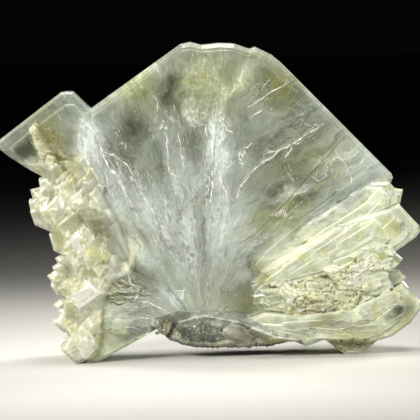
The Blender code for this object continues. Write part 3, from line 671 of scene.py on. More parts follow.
# %% Where the cracks run
CRACKS = [
    (0.30, 1.6, [(-15.9, 26.4), (-15.1, 24.6), (-14.4, 23.6), (-13.8, 22.1), (-13.1, 20.8),
                 (-12.4, 19.6), (-11.8, 18.5)]),
    (0.17, 1.4, [(-14.2, 29.2), (-14.1, 28.1), (-13.5, 26.4), (-13.3, 25.6), (-12.4, 24.2),
                 (-11.4, 23.2), (-10.6, 21.5), (-10.2, 19.6)]),
    (0.22, 1.4, [(-13.6, 26.3), (-12.5, 24.4), (-11.5, 23.0), (-10.8, 21.4), (-9.5, 19.3),
                 (-8.8, 17.4)]),
    (0.14, 1.0, [(-13.3, 26.4), (-12.5, 26.0), (-11.9, 26.0), (-11.3, 25.3), (-10.6, 24.9),
                 (-9.9, 24.1), (-9.5, 23.4), (-9.9, 23.1), (-9.2, 22.6)]),
    (0.15, 1.2, [(-9.2, 22.6), (-8.9, 22.2), (-8.5, 21.1), (-7.8, 20.0), (-7.1, 19.0),
                 (-6.2, 17.4), (-5.1, 16.0)]),
    (0.11, 0.9, [(-2.2, 22.4), (-2.1, 20.0), (-2.3, 17.6), (-2.2, 15.0), (-2.4, 12.6),
                 (-2.3, 10.8)]),
    (0.10, 0.8, [(-5.9, 22.6), (-5.2, 19.6), (-4.2, 16.9), (-3.0, 14.1), (-2.5, 12.4)]),
    (0.10, 0.8, [(-7.4, 20.3), (-6.6, 18.0), (-5.4, 15.7), (-3.8, 13.2), (-2.9, 11.6)]),
    (0.09, 0.8, [(-4.3, 22.0), (-3.9, 19.0), (-3.2, 16.0), (-2.6, 13.6)]),
    (0.12, 0.8, [(-12.2, 29.6), (-11.8, 28.9), (-11.4, 28.1), (-10.8, 27.4), (-10.4, 26.6)]),
    (0.15, 1.2, [(-5.7, 29.0), (-5.4, 27.9), (-5.2, 26.2), (-5.2, 25.0), (-5.1, 23.9),
                 (-4.2, 23.2), (-3.8, 23.2)]),
    (0.14, 1.0, [(-3.9, 28.7), (-3.7, 27.0), (-3.4, 25.0), (-3.2, 24.2)]),
    (0.10, 0.8, [(-6.6, 30.5), (-6.4, 32.5), (-7.4, 33.6)]),
    (0.11, 0.8, [(-5.7, 31.8), (-5.0, 30.7), (-4.2, 29.9)]),
    (0.12, 0.8, [(-2.8, 30.4), (-2.6, 29.5), (-1.8, 29.6), (-0.6, 29.8)]),
    (0.24, 1.8, [(-0.6, 29.8), (-0.6, 28.9), (-0.1, 27.9), (0.4, 27.4), (0.4, 26.5),
                 (0.4, 25.6), (0.2, 24.5), (0.2, 23.1), (0.4, 22.0), (0.0, 21.0), (0.0, 19.9)]),
    (0.20, 1.4, [(0.7, 24.9), (1.1, 24.0), (1.3, 22.9), (1.4, 22.2), (1.8, 21.6), (2.1, 20.5),
                 (2.2, 19.9)]),
    (0.14, 1.0, [(3.1, 25.1), (2.4, 24.5), (1.8, 23.8)]),
    (0.14, 1.0, [(1.8, 31.2), (1.6, 30.0), (2.2, 29.0), (2.8, 28.8)]),
    (0.19, 0.8, [(5.2, 27.5), (4.9, 27.1), (4.4, 26.6), (4.1, 25.9), (3.6, 26.2), (3.6, 25.5),
                 (4.2, 25.1), (4.2, 24.8), (3.8, 24.9)]),
    (0.18, 1.4, [(14.1, 29.9), (12.2, 28.7), (11.2, 27.9), (10.2, 27.2), (9.4, 26.9),
                 (8.7, 26.5), (7.6, 25.6), (6.9, 25.2), (5.8, 24.5), (4.9, 23.5), (4.1, 22.5),
                 (3.7, 21.6), (3.5, 20.9), (3.2, 20.4)]),
    (0.16, 0.8, [(8.7, 26.5), (8.1, 26.4), (7.6, 26.5), (7.0, 26.1)]),
    (0.15, 1.0, [(10.2, 27.1), (9.9, 26.4), (9.5, 25.9), (9.3, 25.4)]),
    (0.07, 0.6, [(9.1, 25.0), (9.5, 24.1), (10.5, 22.5)]),
    (0.15, 1.0, [(4.6, 31.8), (7.2, 33.5), (9.9, 35.1)]),
    (0.15, 1.0, [(5.1, 30.7), (6.6, 31.5)]),
    (0.13, 0.9, [(15.5, 26.5), (16.4, 25.4), (17.2, 24.5), (17.6, 23.5), (17.6, 22.6),
                 (17.2, 22.0), (17.1, 21.3)]),
    (0.10, 0.7, [(10.8, 31.1), (11.9, 29.8), (13.0, 29.6), (14.1, 29.9)]),
    (0.17, 1.2, [(-10.8, 12.6), (-10.4, 11.6), (-9.8, 10.2), (-9.0, 9.3), (-9.1, 8.6),
                 (-9.4, 7.9)]),
    (0.14, 1.0, [(-9.0, 7.9), (-8.0, 7.8), (-6.9, 7.4), (-5.5, 6.7), (-4.5, 6.0), (-3.8, 5.6)]),
    (0.10, 0.8, [(-8.9, 9.3), (-7.4, 8.8), (-6.2, 8.2), (-5.5, 7.9)]),
    (0.14, 0.6, [(-3.6, 5.6), (-2.6, 6.0), (-1.2, 6.1), (0.5, 6.0), (2.6, 5.3)]),
    (0.13, 0.8, [(-6.6, 4.8), (-7.2, 5.6), (-8.3, 5.8), (-9.2, 5.5), (-10.2, 4.9)]),
    (0.09, 0.3, [(12.9, 23.6), (12.9, 24.4), (13.3, 25.2), (13.9, 25.7), (14.4, 25.5),
                 (14.7, 24.8), (14.6, 23.9), (14.2, 23.1), (13.6, 22.8), (13.1, 23.0),
                 (12.9, 23.6)]),
    (0.06, 0.3, [(13.3, 23.5), (13.3, 24.3), (13.7, 25.0), (14.1, 25.1)]),
    (0.06, 0.3, [(13.6, 23.2), (14.1, 23.6), (14.4, 24.4)]),
    (0.07, 0.3, [(15.0, 24.6), (15.3, 24.2), (15.2, 23.6), (14.9, 23.4)]),
    (0.13, 0.6, [(-20.4, 19.1), (-18.5, 20.5), (-16.6, 20.7)]),
    (0.13, 0.6, [(-16.6, 19.8), (-16.5, 18.6), (-15.9, 17.8)]),
    (0.16, 0.6, [(-15.2, 21.5), (-15.5, 22.8), (-15.8, 24.0)]),
    (0.10, 0.6, [(16.9, 24.8), (17.4, 26.2), (17.8, 27.4)]),
    (0.09, 0.5, [(16.5, 19.5), (17.0, 19.0), (17.5, 18.6)]),
    (0.09, 0.5, [(19.6, 22.0), (19.6, 20.5), (19.8, 19.5)]),
    (0.12, 0.6, [(-15.2, 10.0), (-14.4, 8.9), (-14.1, 8.2)]),
    (0.11, 0.6, [(-14.4, 9.0), (-13.6, 8.0)]),
]
crack_length = sum(math.dist(a, b) for *_, line in CRACKS for a, b in zip(line, line[1:]))
print(len(CRACKS), "cracks,", round(crack_length), "mm in all")

# %% [markdown]
# ## Fins
# A healed crack is a thin sheet that starts at the face and runs inward. It could be painted
# on, but a sheet has depth: seen from the side it shows how far it goes in. A flat ribbon
# would vanish when seen from its edge. So each is a closed wedge, called a fin here: a line on
# the face with some width, and a sharp edge inside the crystal.

# %% A fin
CUT_AT = 0.4    # a step in the face, in millimetres, that ends a sheet and starts the next


def walked(line, step):
    """Points at even steps along a line of (x, z)."""
    points = [Vector(line[0])]
    for a, b in zip(line, line[1:]):
        a, b = Vector(a), Vector(b)
        parts = max(1, round((b - a).length / step))
        points += [a.lerp(b, i / parts) for i in range(1, parts + 1)]
    return points


def fin(corners, faces, line, width, depth, side=-1, sunk=-0.02, slant=0.0):
    """Adds one thin sheet along a line: width wide at the face, and sharp at depth inside."""
    run = []
    for i, point in enumerate(line):
        y, _ = surface(point.x, point.y, side)
        if y is None or (run and abs(y - run[-1][1]) > CUT_AT):
            close_fin(corners, faces, run)
            run = []
        if y is None:
            continue
        ahead = line[min(i + 1, len(line) - 1)] - line[max(i - 1, 0)]
        across = Vector((-ahead.y, ahead.x)).normalized()
        swell = math.sqrt(max(0.0, math.sin(math.pi * (i + 0.35) / (len(line) - 0.3))))
        uneven = 0.75 + 0.7 * noise.noise(Vector((point.x, y, point.y)) * 3.1)
        thick = width * (0.2 + 0.8 * swell) * uneven
        run.append((point, y, across, thick, depth * swell, side, sunk, slant))
    close_fin(corners, faces, run)


def close_fin(corners, faces, run):
    """Turns the measured places of a sheet into a closed wedge."""
    if len(run) < 2:
        return
    first = len(corners)
    for point, y, across, width, depth, side, sunk, slant in run:
        for reach, inward in ((-0.5 * width, 0.0), (0.5 * width, 0.0), (slant * depth, depth)):
            place = point + across * reach
            corners.append((place.x, y - side * (sunk + inward), place.y))
    for i in range(len(run) - 1):
        a, b = first + 3 * i, first + 3 * (i + 1)
        faces += [(a + j, b + j, b + (j + 1) % 3, a + (j + 1) % 3) for j in range(3)]
    end = first + 3 * (len(run) - 1)
    faces += [(first, first + 1, first + 2), (end + 2, end + 1, end)]


corners, faces = [], []
fin(corners, faces, walked(CRACKS[0][2], 0.15), 0.3, 1.6)
print("the first crack alone:", len(faces), "faces")

# %% [markdown]
# ## Frost
# What fills a crack is frost: tiny gaps in clear crystal, which scatter light, so it is rough
# glass that has gone white. A volume full of scatter would be truer and far slower. Frost is
# denser in patches of about half a millimetre, which is what makes a crack glint and fade
# along its way. The finest cracks are a thin veil of it, mostly air, so they bend light less.

# %% Frost and veil
def frosting(name, faint, dense, most, least, ior):
    """Gaps in crystal: two tints, and how much light they let through at most and least."""
    made, tree, shader = new_material(name)
    place = drawing_place(tree)
    packed = add(tree, "TexNoise", {"Vector": place, "Scale": 2.2, "Detail": 3.0})
    packed = add(tree, "MapRange", [packed, 0.35, 0.62], interpolation_type="SMOOTHSTEP")
    tone = add(
        tree, "Mix", {0: packed, 6: linear(faint), 7: linear(dense)}, out=2, data_type="RGBA"
    )
    fill(tree, shader, {
        "Base Color": tone,
        "Transmission Weight": add(tree, "MapRange", [packed, 0.0, 1.0, most, least]),
        "Roughness": 0.45,
        "IOR": ior,
    })
    return made


frost = frosting("frosted crack", "#DDE1D4", "#FFFFFC", 0.50, 0.06, 1.53)
veil = frosting("thin veil", "#DDE2D8", "#FCFFFC", 0.90, 0.40, 1.3)
print("frost and veil:", frost.name, "and", veil.name)

# %% [markdown]
# ## The cracks themselves
# A crack isn't drawn with a ruler: its line jitters, it thickens and thins, and fine splinters
# run along it. All that could be typed in with the lines, but noise at three sizes moves
# their points just as well, and chance sows the splinters. The deepest cracks come out at the
# back of the plate too. The wide ones are frost, and the rest are veil.

# %% Cracks
CRACK_STEP = 0.15    # millimetres between the corners of a crack
BROAD, DEEP = 0.125, 1.2    # millimetres, from which a crack is frost, or shows at the back
WOBBLE = ((1.1, 0.16), (4.0, 0.08), (9.0, 0.05))    # noise scale and reach in millimetres
solid_corners, solid_faces, thin_corners, thin_faces = [], [], [], []
for width, depth, line in CRACKS:
    points = walked(line, CRACK_STEP)
    for point in points:
        near = Vector((point.x, point.y, width * 40))    # each width wobbles its own way
        for scale, reach in WOBBLE:
            shift = noise.noise_vector(near * scale)
            point += Vector((shift.x, shift.y)) * reach
    corners, faces = (solid_corners, solid_faces) if width > BROAD else (thin_corners, thin_faces)
    fin(corners, faces, points, width, depth, slant=chance.uniform(-0.6, 0.6))
    if depth >= DEEP:
        fin(corners, faces, points, width * 0.7, depth, side=1, slant=chance.uniform(-0.6, 0.6))
    # Splinters: short thin lines beside the crack, nearly along it.
    for _ in range(len(points) // 3):
        start = chance.randrange(len(points))
        run = points[start:start + chance.randint(4, 12)]
        aside = Vector((chance.gauss(0.0, 0.22), chance.gauss(0.0, 0.22)))
        fin(
            thin_corners, thin_faces, [point + aside for point in run],
            chance.uniform(0.04, 0.08), chance.uniform(0.1, 0.5), slant=chance.uniform(-0.9, 0.9),
        )
for i in range(10):    # a hatch of parallel scratches on the right
    start = Vector((7.6 + 0.18 * i, 18.5 + 0.10 * i))
    line = [start + Vector((0.05, -0.17)) * k * (0.25 + 0.1 * i) for k in range(7)]
    fin(solid_corners, solid_faces, line, 0.10, 0.2)
piece("healed_cracks", solid_corners, solid_faces, frost)
piece("fine_cracks", thin_corners, thin_faces, veil)

# %% [markdown]
# ## Growth streaks
# Much finer white lines lie between the cracks, in sheaves that all lean out from the root.
# They are gaps between the blades that make up the plate. The material's own streaks lie flat
# on the face, while these catch the light at different depths. There are thousands, so they
# are sown by zone: a middle, half a width, half a height and a lean, how many sheaves, where
# they point back to, and how long and how wide a line can be. Each sheaf is a dozen lines that
# lie close together, some at the face and some a little under it. They are about 0.05 mm
# wide, coarser than the real ones, which would be too fine to show.

# %% Streaks
STREAKS = [
    # x, z, wide, tall, lean, sheaves, points back to, longest, widest
    (-10.4, 20.6, 3.8, 8.0, -30, 34, (-1.0, 2.0), 4.6, 0.085),
    (-5.6, 18.4, 3.4, 7.6, -16, 34, (-1.0, 4.0), 4.6, 0.085),
    (0.3, 23.4, 1.3, 7.4, 0, 22, (-0.6, -4.0), 5.0, 0.100),
    (-0.8, 14.6, 4.4, 5.4, 0, 24, (-0.8, 2.0), 4.0, 0.080),
    (-7.4, 29.0, 4.6, 3.6, -30, 6, (-1.0, 4.0), 2.6, 0.065),
    (-15.4, 27.8, 0.7, 3.4, 4, 10, (-14.6, -6.0), 4.2, 0.090),
    (10.0, 17.4, 2.6, 7.4, 60, 26, (-1.0, 11.0), 6.0, 0.070),
    (5.4, 14.0, 3.0, 3.4, 45, 10, (-1.0, 9.0), 3.6, 0.065),
    (13.6, 31.6, 2.4, 9.0, -46, 6, (26.0, 20.0), 5.0, 0.060),
    (-11.4, 7.6, 2.8, 5.0, 78, 22, (-1.5, 7.8), 4.6, 0.080),
    (16.0, 4.6, 1.2, 6.6, 88, 12, (0.0, 5.0), 5.4, 0.070),
    (17.0, 18.6, 2.4, 6.4, 62, 20, (-1.0, 9.5), 4.6, 0.070),
    (-0.4, 37.8, 3.4, 1.6, 0, 5, (0.4, 20.0), 1.8, 0.080),
    (6.4, 35.4, 1.4, 3.2, 50, 6, (-4.0, 27.0), 3.0, 0.070),
    (-19.6, 30.4, 3.8, 2.2, -37, 5, (-8.0, 12.0), 2.0, 0.060),
    (-12.0, 26.0, 2.0, 3.4, -30, 8, (-1.0, 4.0), 3.0, 0.070),
    (12.4, 31.6, 3.4, 1.0, -31, 6, (-8.0, 19.4), 5.0, 0.065),
]
corners, faces = [], []
for x, z, wide, tall, lean, sheaves_here, back_to, longest, widest in STREAKS:
    for middle in in_oval(x, z, wide, tall, lean, sheaves_here):
        way = (middle - Vector(back_to)).normalized()
        way.rotate(Matrix.Rotation(chance.gauss(0.0, 0.05), 2))
        aside = Vector((-way.y, way.x))
        side = -1 if chance.random() < 0.7 else 1    # more on the front
        for _ in range(chance.randint(5, 17)):
            place = middle + aside * chance.gauss(0.0, 0.24) + way * chance.gauss(0.0, 0.9)
            long = longest * chance.uniform(0.12, 0.55)
            bow = chance.uniform(-0.03, 0.03) * long
            line = [
                place + way * (k / 6 - 0.5) * long
                + aside * (bow * (1 - (k / 3 - 1) ** 2) + chance.uniform(-0.03, 0.03))
                for k in range(7)
            ]
            fin(
                corners, faces, line, widest * chance.uniform(0.4, 1.0),
                chance.uniform(0.1, 0.7), side, sunk=chance.choice((-0.015, -0.01, 0.1, 0.3)),
                slant=chance.uniform(-0.5, 0.5),
            )
piece("growth_streaks", corners, faces, veil)

# %% [markdown]
# ## Grains
# Specks on the plate, grit in the nooks and the rubble of the matrix are all broken crystal:
# small, angular, and no two alike. Spheres would look like beads, and copies of one grain
# would show as copies. So one maker does for all: the twelve corners of a round-ish solid,
# each pushed in or out, and the whole stretched and spun.

# %% A grain
GOLDEN = (1 + math.sqrt(5)) / 2
GRAIN_CORNERS = [
    Vector(c).normalized() for c in (
        (-1, GOLDEN, 0), (1, GOLDEN, 0), (-1, -GOLDEN, 0), (1, -GOLDEN, 0),
        (0, -1, GOLDEN), (0, 1, GOLDEN), (0, -1, -GOLDEN), (0, 1, -GOLDEN),
        (GOLDEN, 0, -1), (GOLDEN, 0, 1), (-GOLDEN, 0, -1), (-GOLDEN, 0, 1),
    )
]
GRAIN_FACES = [
    (0, 11, 5), (0, 5, 1), (0, 1, 7), (0, 7, 10), (0, 10, 11), (1, 5, 9), (5, 11, 4),
    (11, 10, 2), (10, 7, 6), (7, 1, 8), (3, 9, 4), (3, 4, 2), (3, 2, 6), (3, 6, 8), (3, 8, 9),
    (4, 9, 5), (2, 4, 11), (6, 2, 10), (8, 6, 7), (9, 8, 1),
]


def grain(corners, faces, place, size):
    """Adds one angular grain of about the given half size."""
    first = len(corners)
    spin = Euler([chance.uniform(0, 6.28) for _ in range(3)]).to_matrix()
    stretch = Vector([size * chance.uniform(0.65, 1.25) for _ in range(3)])
    for corner in GRAIN_CORNERS:
        pushed = corner * chance.uniform(0.72, 1.12)
        corners.append(tuple(Vector(place) + spin @ (pushed * stretch)))
    faces += [tuple(first + c for c in face) for face in GRAIN_FACES]


def sow(corners, faces, zone, count, sizes, side=-1, sunk=0.3):
    """Sows grains on the crystal over an oval zone: x, z, wide, tall, lean."""
    for at in in_oval(*zone, count):
        y, _ = surface(at.x, at.y, side)
        size = sizes[0] + (sizes[1] - sizes[0]) * chance.random() ** 2
        if y is None or (DRAWN @ Vector((at.x, y, at.y))).z < 1.4 * size * MM:
            continue
        grain(corners, faces, (at.x, y - side * size * (2 * sunk - 1), at.y), size)


print("a grain has", len(GRAIN_CORNERS), "corners and", len(GRAIN_FACES), "faces")

# %% [markdown]
# ## Specks on the plate
# The plate's face is dusted with tiny bright points, where flakes have lifted or dust has
# grown in. Noise in the material would make them all alike and quite flat. They are grains of
# frost, under a tenth of a millimetre, let into the face so that only their tops catch light.

# %% Specks
SPECK_SIZES = (0.035, 0.085)    # least and greatest half size in millimetres
SPECKS = [
    ((9.0, 26.0, 6.4, 7.0, 50), 90), ((-6.0, 27.0, 6.0, 5.4, 0), 50),
    ((1.0, 33.0, 9.0, 5.0, 0), 50), ((-12.0, 22.0, 3.4, 6.0, -20), 30),
    ((12.0, 22.0, 5.0, 4.0, 0), 30), ((-20.5, 30.0, 4.6, 2.8, -37), 40),
    ((-1.0, 10.0, 6.0, 4.0, 0), 40),
]
corners, faces = [], []
for zone, count in SPECKS:
    sow(corners, faces, zone, count, SPECK_SIZES, sunk=0.35)
    sow(corners, faces, zone, count // 3, SPECK_SIZES, side=1, sunk=0.35)
piece("specks", corners, faces, frost)

# %% [markdown]
# ## Young crystals
# Small blades grew last, over the ends of the big ones. Each is a flat prism, and a bevel runs
# round its faces, because a knife-sharp rim gives no glint. A modifier could bevel them, but
# so many small ones are quicker made with their bevels: four outlines, one over the other,
# with the outer two drawn in. The outlines are a rhomb, a blade with one pointed end, a
# square and a long blade.

# %% A small tablet
RHOMB = [(-1.0, 0.0), (-0.12, -1.0), (1.0, -0.1), (0.14, 1.0)]
POINTED = [(-1.0, -0.8), (0.35, -1.0), (1.0, -0.05), (0.4, 1.0), (-1.0, 0.85)]
SQUARE = [(-1.0, -1.0), (1.0, -1.0), (1.0, 1.0), (-1.0, 1.0)]
LONG = [(-1.0, -0.2), (-0.8, -1.0), (0.72, -0.9), (1.0, -0.05), (0.8, 1.0), (-0.92, 0.7)]


def tablet(corners, faces, outline, half, thick, place, heading, tip=0.0, roll=0.0):
    """Adds one tablet: half is its half length and half width, heading is up from +X."""
    first, count = len(corners), len(outline)
    turn = (
        Matrix.Translation(place) @ Matrix.Rotation(-heading, 4, "Y")
        @ Matrix.Rotation(tip, 4, "Z") @ Matrix.Rotation(roll, 4, "X")
    )
    bevel = min(0.16, 0.32 * thick)    # millimetres
    for y, shrink in (
        (-0.5 * thick, 1.0), (-0.5 * thick + bevel, 0.0), (0.5 * thick - bevel, 0.0),
        (0.5 * thick, 1.0),
    ):
        for x, z in outline:
            across = 1 - shrink * bevel / min(half)
            corners.append(tuple(turn @ Vector((x * half[0] * across, y, z * half[1] * across))))
    for ring in range(3):
        for i in range(count):
            a, b = first + ring * count + i, first + ring * count + (i + 1) % count
            faces.append((a, b, b + count, a + count))
    faces.append(tuple(first + i for i in reversed(range(count))))
    faces.append(tuple(first + 3 * count + i for i in range(count)))


corners, faces = [], []
tablet(corners, faces, RHOMB, (1.0, 0.8), 0.5, (0.0, 0.0, 0.0), 0.0)
print("a rhomb:", len(corners), "corners,", len(faces), "faces")

# %% [markdown]
# ## Heaps at the sides
# Around the hollow on the right, and over the backs of both sides, young crystals stand out
# in loose heaps, each turned its own way but all roughly facing away from the root. Placing
# them by hand would show no more than chance does, so they are sown by zone.

# %% Heaps
HEAP_ZONES = [
    # x, z, wide, tall, lean, count, half lengths, side
    (14.4, 8.6, 4.8, 1.9, 0, 8, (0.5, 1.0), -1), (20.6, 13.4, 1.8, 1.6, 0, 8, (0.5, 1.0), -1),
    (7.4, 9.0, 2.0, 1.4, -30, 8, (0.6, 1.2), -1), (-16.4, 14.0, 2.8, 8.0, 0, 34, (0.8, 1.5), 1),
    (15.4, 10.0, 5.0, 4.0, -30, 30, (0.8, 1.5), 1),
]
HEAP_ROOT = (-1.0, 9.0)    # x, z that the heaps face away from
corners, faces = [], []
for x, z, wide, tall, lean, count, halves, side in HEAP_ZONES:
    for at in in_oval(x, z, wide, tall, lean, count):
        y, _ = surface(at.x, at.y, side)
        if y is None:
            continue
        half = chance.uniform(*halves)
        thick = half * chance.uniform(0.4, 0.6)
        heading = math.atan2(at.y - HEAP_ROOT[1], at.x - HEAP_ROOT[0]) + chance.gauss(0.0, 0.35)
        tablet(
            corners, faces, chance.choice((RHOMB, POINTED)),
            (half, half * chance.uniform(0.55, 0.85)), thick,
            (at.x, y - side * 0.1 * thick, at.y), heading,
            chance.gauss(0.0, 0.16), chance.gauss(0.0, 0.16),
        )
piece("small_blades", corners, faces, crystal)

# %% [markdown]
# ## Blades on the blades
# The slabs on the right aren't single crystals: each carries longer and shorter blades that
# grew side by side with it and stand a little proud. Grooves in the slabs would give lines
# but no steps. So they are tablets too, long and thin, in the big crystals' own finish, so
# that they run on from one to the next. The large ones have rows, and the small are sown.

# %% Long blades
LONG_BLADES = [
    # x, z, half length, half width, thickness, heading in degrees
    (18.0, 18.6, 3.2, 0.70, 0.6, 32),
    (12.8, 14.4, 4.8, 0.55, 0.6, 33), (15.4, 15.4, 3.8, 0.50, 0.6, 32),
    (18.4, 16.0, 3.2, 0.80, 0.7, 29), (9.4, 11.9, 3.2, 0.50, 0.5, 35),
    (11.9, 12.2, 3.2, 0.45, 0.5, 30), (20.6, 20.6, 1.4, 0.85, 0.5, 40),
    (22.0, 16.6, 2.2, 1.00, 0.7, 38), (18.2, 12.6, 2.8, 0.75, 0.6, 22),
    (19.8, 10.9, 2.4, 0.60, 0.5, 14), (20.8, 7.8, 3.0, 0.90, 0.6, 20),
    (17.2, 6.5, 4.4, 0.55, 0.5, 8), (13.4, 5.3, 4.8, 0.60, 0.5, 4),
    (9.4, 4.7, 3.6, 0.50, 0.5, -4), (8.2, 8.2, 2.0, 0.70, 0.6, 10),
    (7.4, 9.9, 1.6, 0.60, 0.5, 30), (22.4, 6.4, 2.2, 0.85, 0.6, 35),
    (9.8, 3.8, 2.8, 0.40, 0.4, -12), (14.8, 3.7, 3.0, 0.40, 0.4, -2),
]
BLADE_ZONES = [    # x, z, wide, tall, lean, count, heading, spread of it
    (15.8, 15.6, 2.0, 6.4, 60, 20, 32, 5), (18.6, 11.8, 3.0, 2.0, 0, 10, 20, 8),
    (15.0, 4.8, 7.0, 1.2, 0, 20, 5, 6), (20.6, 7.2, 2.6, 1.6, 0, 10, 24, 8),
    (-10.2, 5.4, 2.6, 1.2, 20, 8, 168, 7),
]


def long_blade(x, z, long, wide, thick, degrees):
    """Adds one blade that lies along the face under it, with its outer end a little proud."""
    y, _ = surface(x, z)
    if y is None:
        return
    tablet(
        corners, faces, LONG, (long, wide), thick, (x, y + 0.25 * thick, z),
        math.radians(degrees), -0.02 - abs(chance.gauss(0.0, 0.03)), chance.gauss(0.0, 0.07),
    )


corners, faces = [], []
for row in LONG_BLADES:
    long_blade(*row)
for x, z, wide, tall, lean, count, degrees, spread in BLADE_ZONES:
    for at in in_oval(x, z, wide, tall, lean, count):
        half = chance.uniform(0.9, 2.4)
        long_blade(
            at.x, at.y, half, half * chance.uniform(0.14, 0.30), chance.uniform(0.25, 0.45),
            degrees + chance.gauss(0.0, spread),
        )
piece("long_blades", corners, faces, crystal)

# %% [markdown]
# ## Young crystals on the plate
# Two things break the plate's smooth face: one neat square tablet near the root, and a patch
# of small scales high up. They could be drawn on, but they grew on the face and cast fine
# shadows. So they are tablets of veil, which is paler than the plate, let into the face by
# half.

# %% Square tablet and scales
SQUARE_X, SQUARE_Z = -3.65, 8.45
corners, faces = [], []
y, _ = surface(SQUARE_X, SQUARE_Z)
tablet(
    corners, faces, SQUARE, (0.60, 0.62), 0.24, (SQUARE_X, y + 0.02, SQUARE_Z), 0.03, 0.02, -0.03
)
piece("square_tablet", corners, faces, veil)
SCALES = [(-5.9, 29.7, 0.28), (-5.5, 29.3, 0.22), (-6.2, 29.3, 0.2), (-5.8, 30.1, 0.16)]
corners, faces = [], []
for x, z, half in SCALES:
    y, _ = surface(x, z)
    tablet(
        corners, faces, POINTED, (half, half * 0.9), 0.10, (x, y - 0.01, z),
        chance.uniform(0.0, 6.28), chance.gauss(0.0, 0.08), chance.gauss(0.0, 0.08),
    )
piece("scales", corners, faces, veil)

# %% [markdown]
# ## Crystals that have run together
# In the crusts and at the left the young crystals have run together: low rhombs and crumbs
# that pass into each other without a slit, sugary to the touch. Loose tablets would leave dark
# gaps between them, and metaballs would round them off. So each crust is one closed sheet
# with heights on a fine grid. These helpers work on whole grids of places at once.

# %% Grids of places
SIDEWAYS = ((1, 0), (-1, 0), (0, 1), (0, -1))    # the four neighbours, by row and column


def over(xs, zs, value):
    """An array of what value(x, z) gives at each place."""
    return np.array([
        [value(x, z) for x, z in zip(*row)] for row in zip(xs.tolist(), zs.tolist())
    ])


def rough(xs, zs, seed):
    """Fractal noise at each place, between about -1 and 1."""
    return over(xs, zs, lambda x, z: noise.fractal(Vector((x, z, seed)), 0.9, 2.0, 3))


def off_line(xs, zs, points):
    """How far each place is from a line through the points."""
    far = np.full(xs.shape, 1e9)
    for (x0, z0), (x1, z1) in zip(points, points[1:]):
        along = ((xs - x0) * (x1 - x0) + (zs - z0) * (z1 - z0)) / ((x1 - x0) ** 2 + (z1 - z0) ** 2)
        along = np.clip(along, 0.0, 1.0)
        far = np.minimum(far, np.hypot(xs - x0 - along * (x1 - x0), zs - z0 - along * (z1 - z0)))
    return far


def turned_to(xs, zs, x, z, degrees):
    """Each place along and across a heading from a point."""
    c, s = math.cos(math.radians(degrees)), math.sin(math.radians(degrees))
    return (xs - x) * c + (zs - z) * s, (zs - z) * c - (xs - x) * s


def softened(values, known, times):
    """Averages over the neighbours that are known, some times over."""
    weight = known.astype(float)
    for _ in range(times):
        total, count = np.zeros_like(values), np.zeros_like(values)
        for down in (-1, 0, 1):
            for right in (-1, 0, 1):
                shift = (down, right)
                total += np.roll(values * weight, shift, (0, 1))
                count += np.roll(weight, shift, (0, 1))
        values = np.where(known, total / np.maximum(count, 1.0), values)
    return values


def inwards(xs, zs, known, outline, step):
    """How far each place is inside both the outline and the solid, in millimetres."""
    far = off_line(xs, zs, outline + outline[:1])
    inside = np.zeros(xs.shape, dtype=bool)
    for (x0, z0), (x1, z1) in zip(outline, outline[1:] + outline[:1]):
        cross = (z0 > zs) != (z1 > zs)
        inside ^= cross & (xs < x0 + (zs - z0) * (x1 - x0) / (z1 - z0 if z1 != z0 else 1e-9))
    steps = np.where(known, 99.0, 0.0)
    for _ in range(8):    # steps to the solid's own outline, as far as matters
        for shift in SIDEWAYS:
            steps = np.minimum(steps, np.roll(steps, shift, (0, 1)) + 1.0)
    return np.where(inside & known, np.minimum(far, (steps - 1.0) * step), -1.0)


some_xs, some_zs = np.meshgrid(np.arange(0.0, 2.0, 0.5), np.arange(0.0, 1.0, 0.5))
farthest = off_line(some_xs, some_zs, [(0, 0), (1, 0)]).max()
print("a grid of", some_xs.size, "places, up to", round(float(farthest), 2), "mm off a line")

# %% [markdown]
# ## A sheet over the solids
# A crust lies on what carries it. The grid's places are shot onto the solids, which gives
# the crust its ground, and the ground is softened so that steps below don't show through. A
# displaced plane would leave slits at its rim. This sheet has a front and a back, 0.3 mm
# inside the solid, with walls between them, and near its outline it dips under the solid's
# face, so no rim of it shows.

# %% A sheet
NOTHING = -99.0    # stands for the front where there is no solid
SKIN, DIP, LIFTED = 0.3, 0.12, 0.08    # millimetres: back, rim under the face, middle over it
GAP_ROWS = 5    # rows of the grid that the gap between the two solids can take up


def solid_front(xs, zs, both):
    """How far the crystal, or both solids together, come forward at each place."""
    trees = (CRYSTAL_TREE, MATRIX_TREE) if both else (CRYSTAL_TREE,)
    seen = over(xs, zs, lambda x, z: max(
        (-y for y in (surface(x, z, tree=tree)[0] for tree in trees) if y is not None),
        default=NOTHING,
    ))
    if both:    # the narrow gap between the two is bridged from above and below
        for above in range(1, GAP_ROWS + 1):
            for below in range(1, GAP_ROWS + 1):
                up, down = np.roll(seen, above, 0), np.roll(seen, -below, 0)
                gap = (seen == NOTHING) & (up != NOTHING) & (down != NOTHING)
                seen = np.where(gap, 0.5 * (up + down), seen)
                seen[:GAP_ROWS] = NOTHING    # these took a value from the grid's far end
    return seen


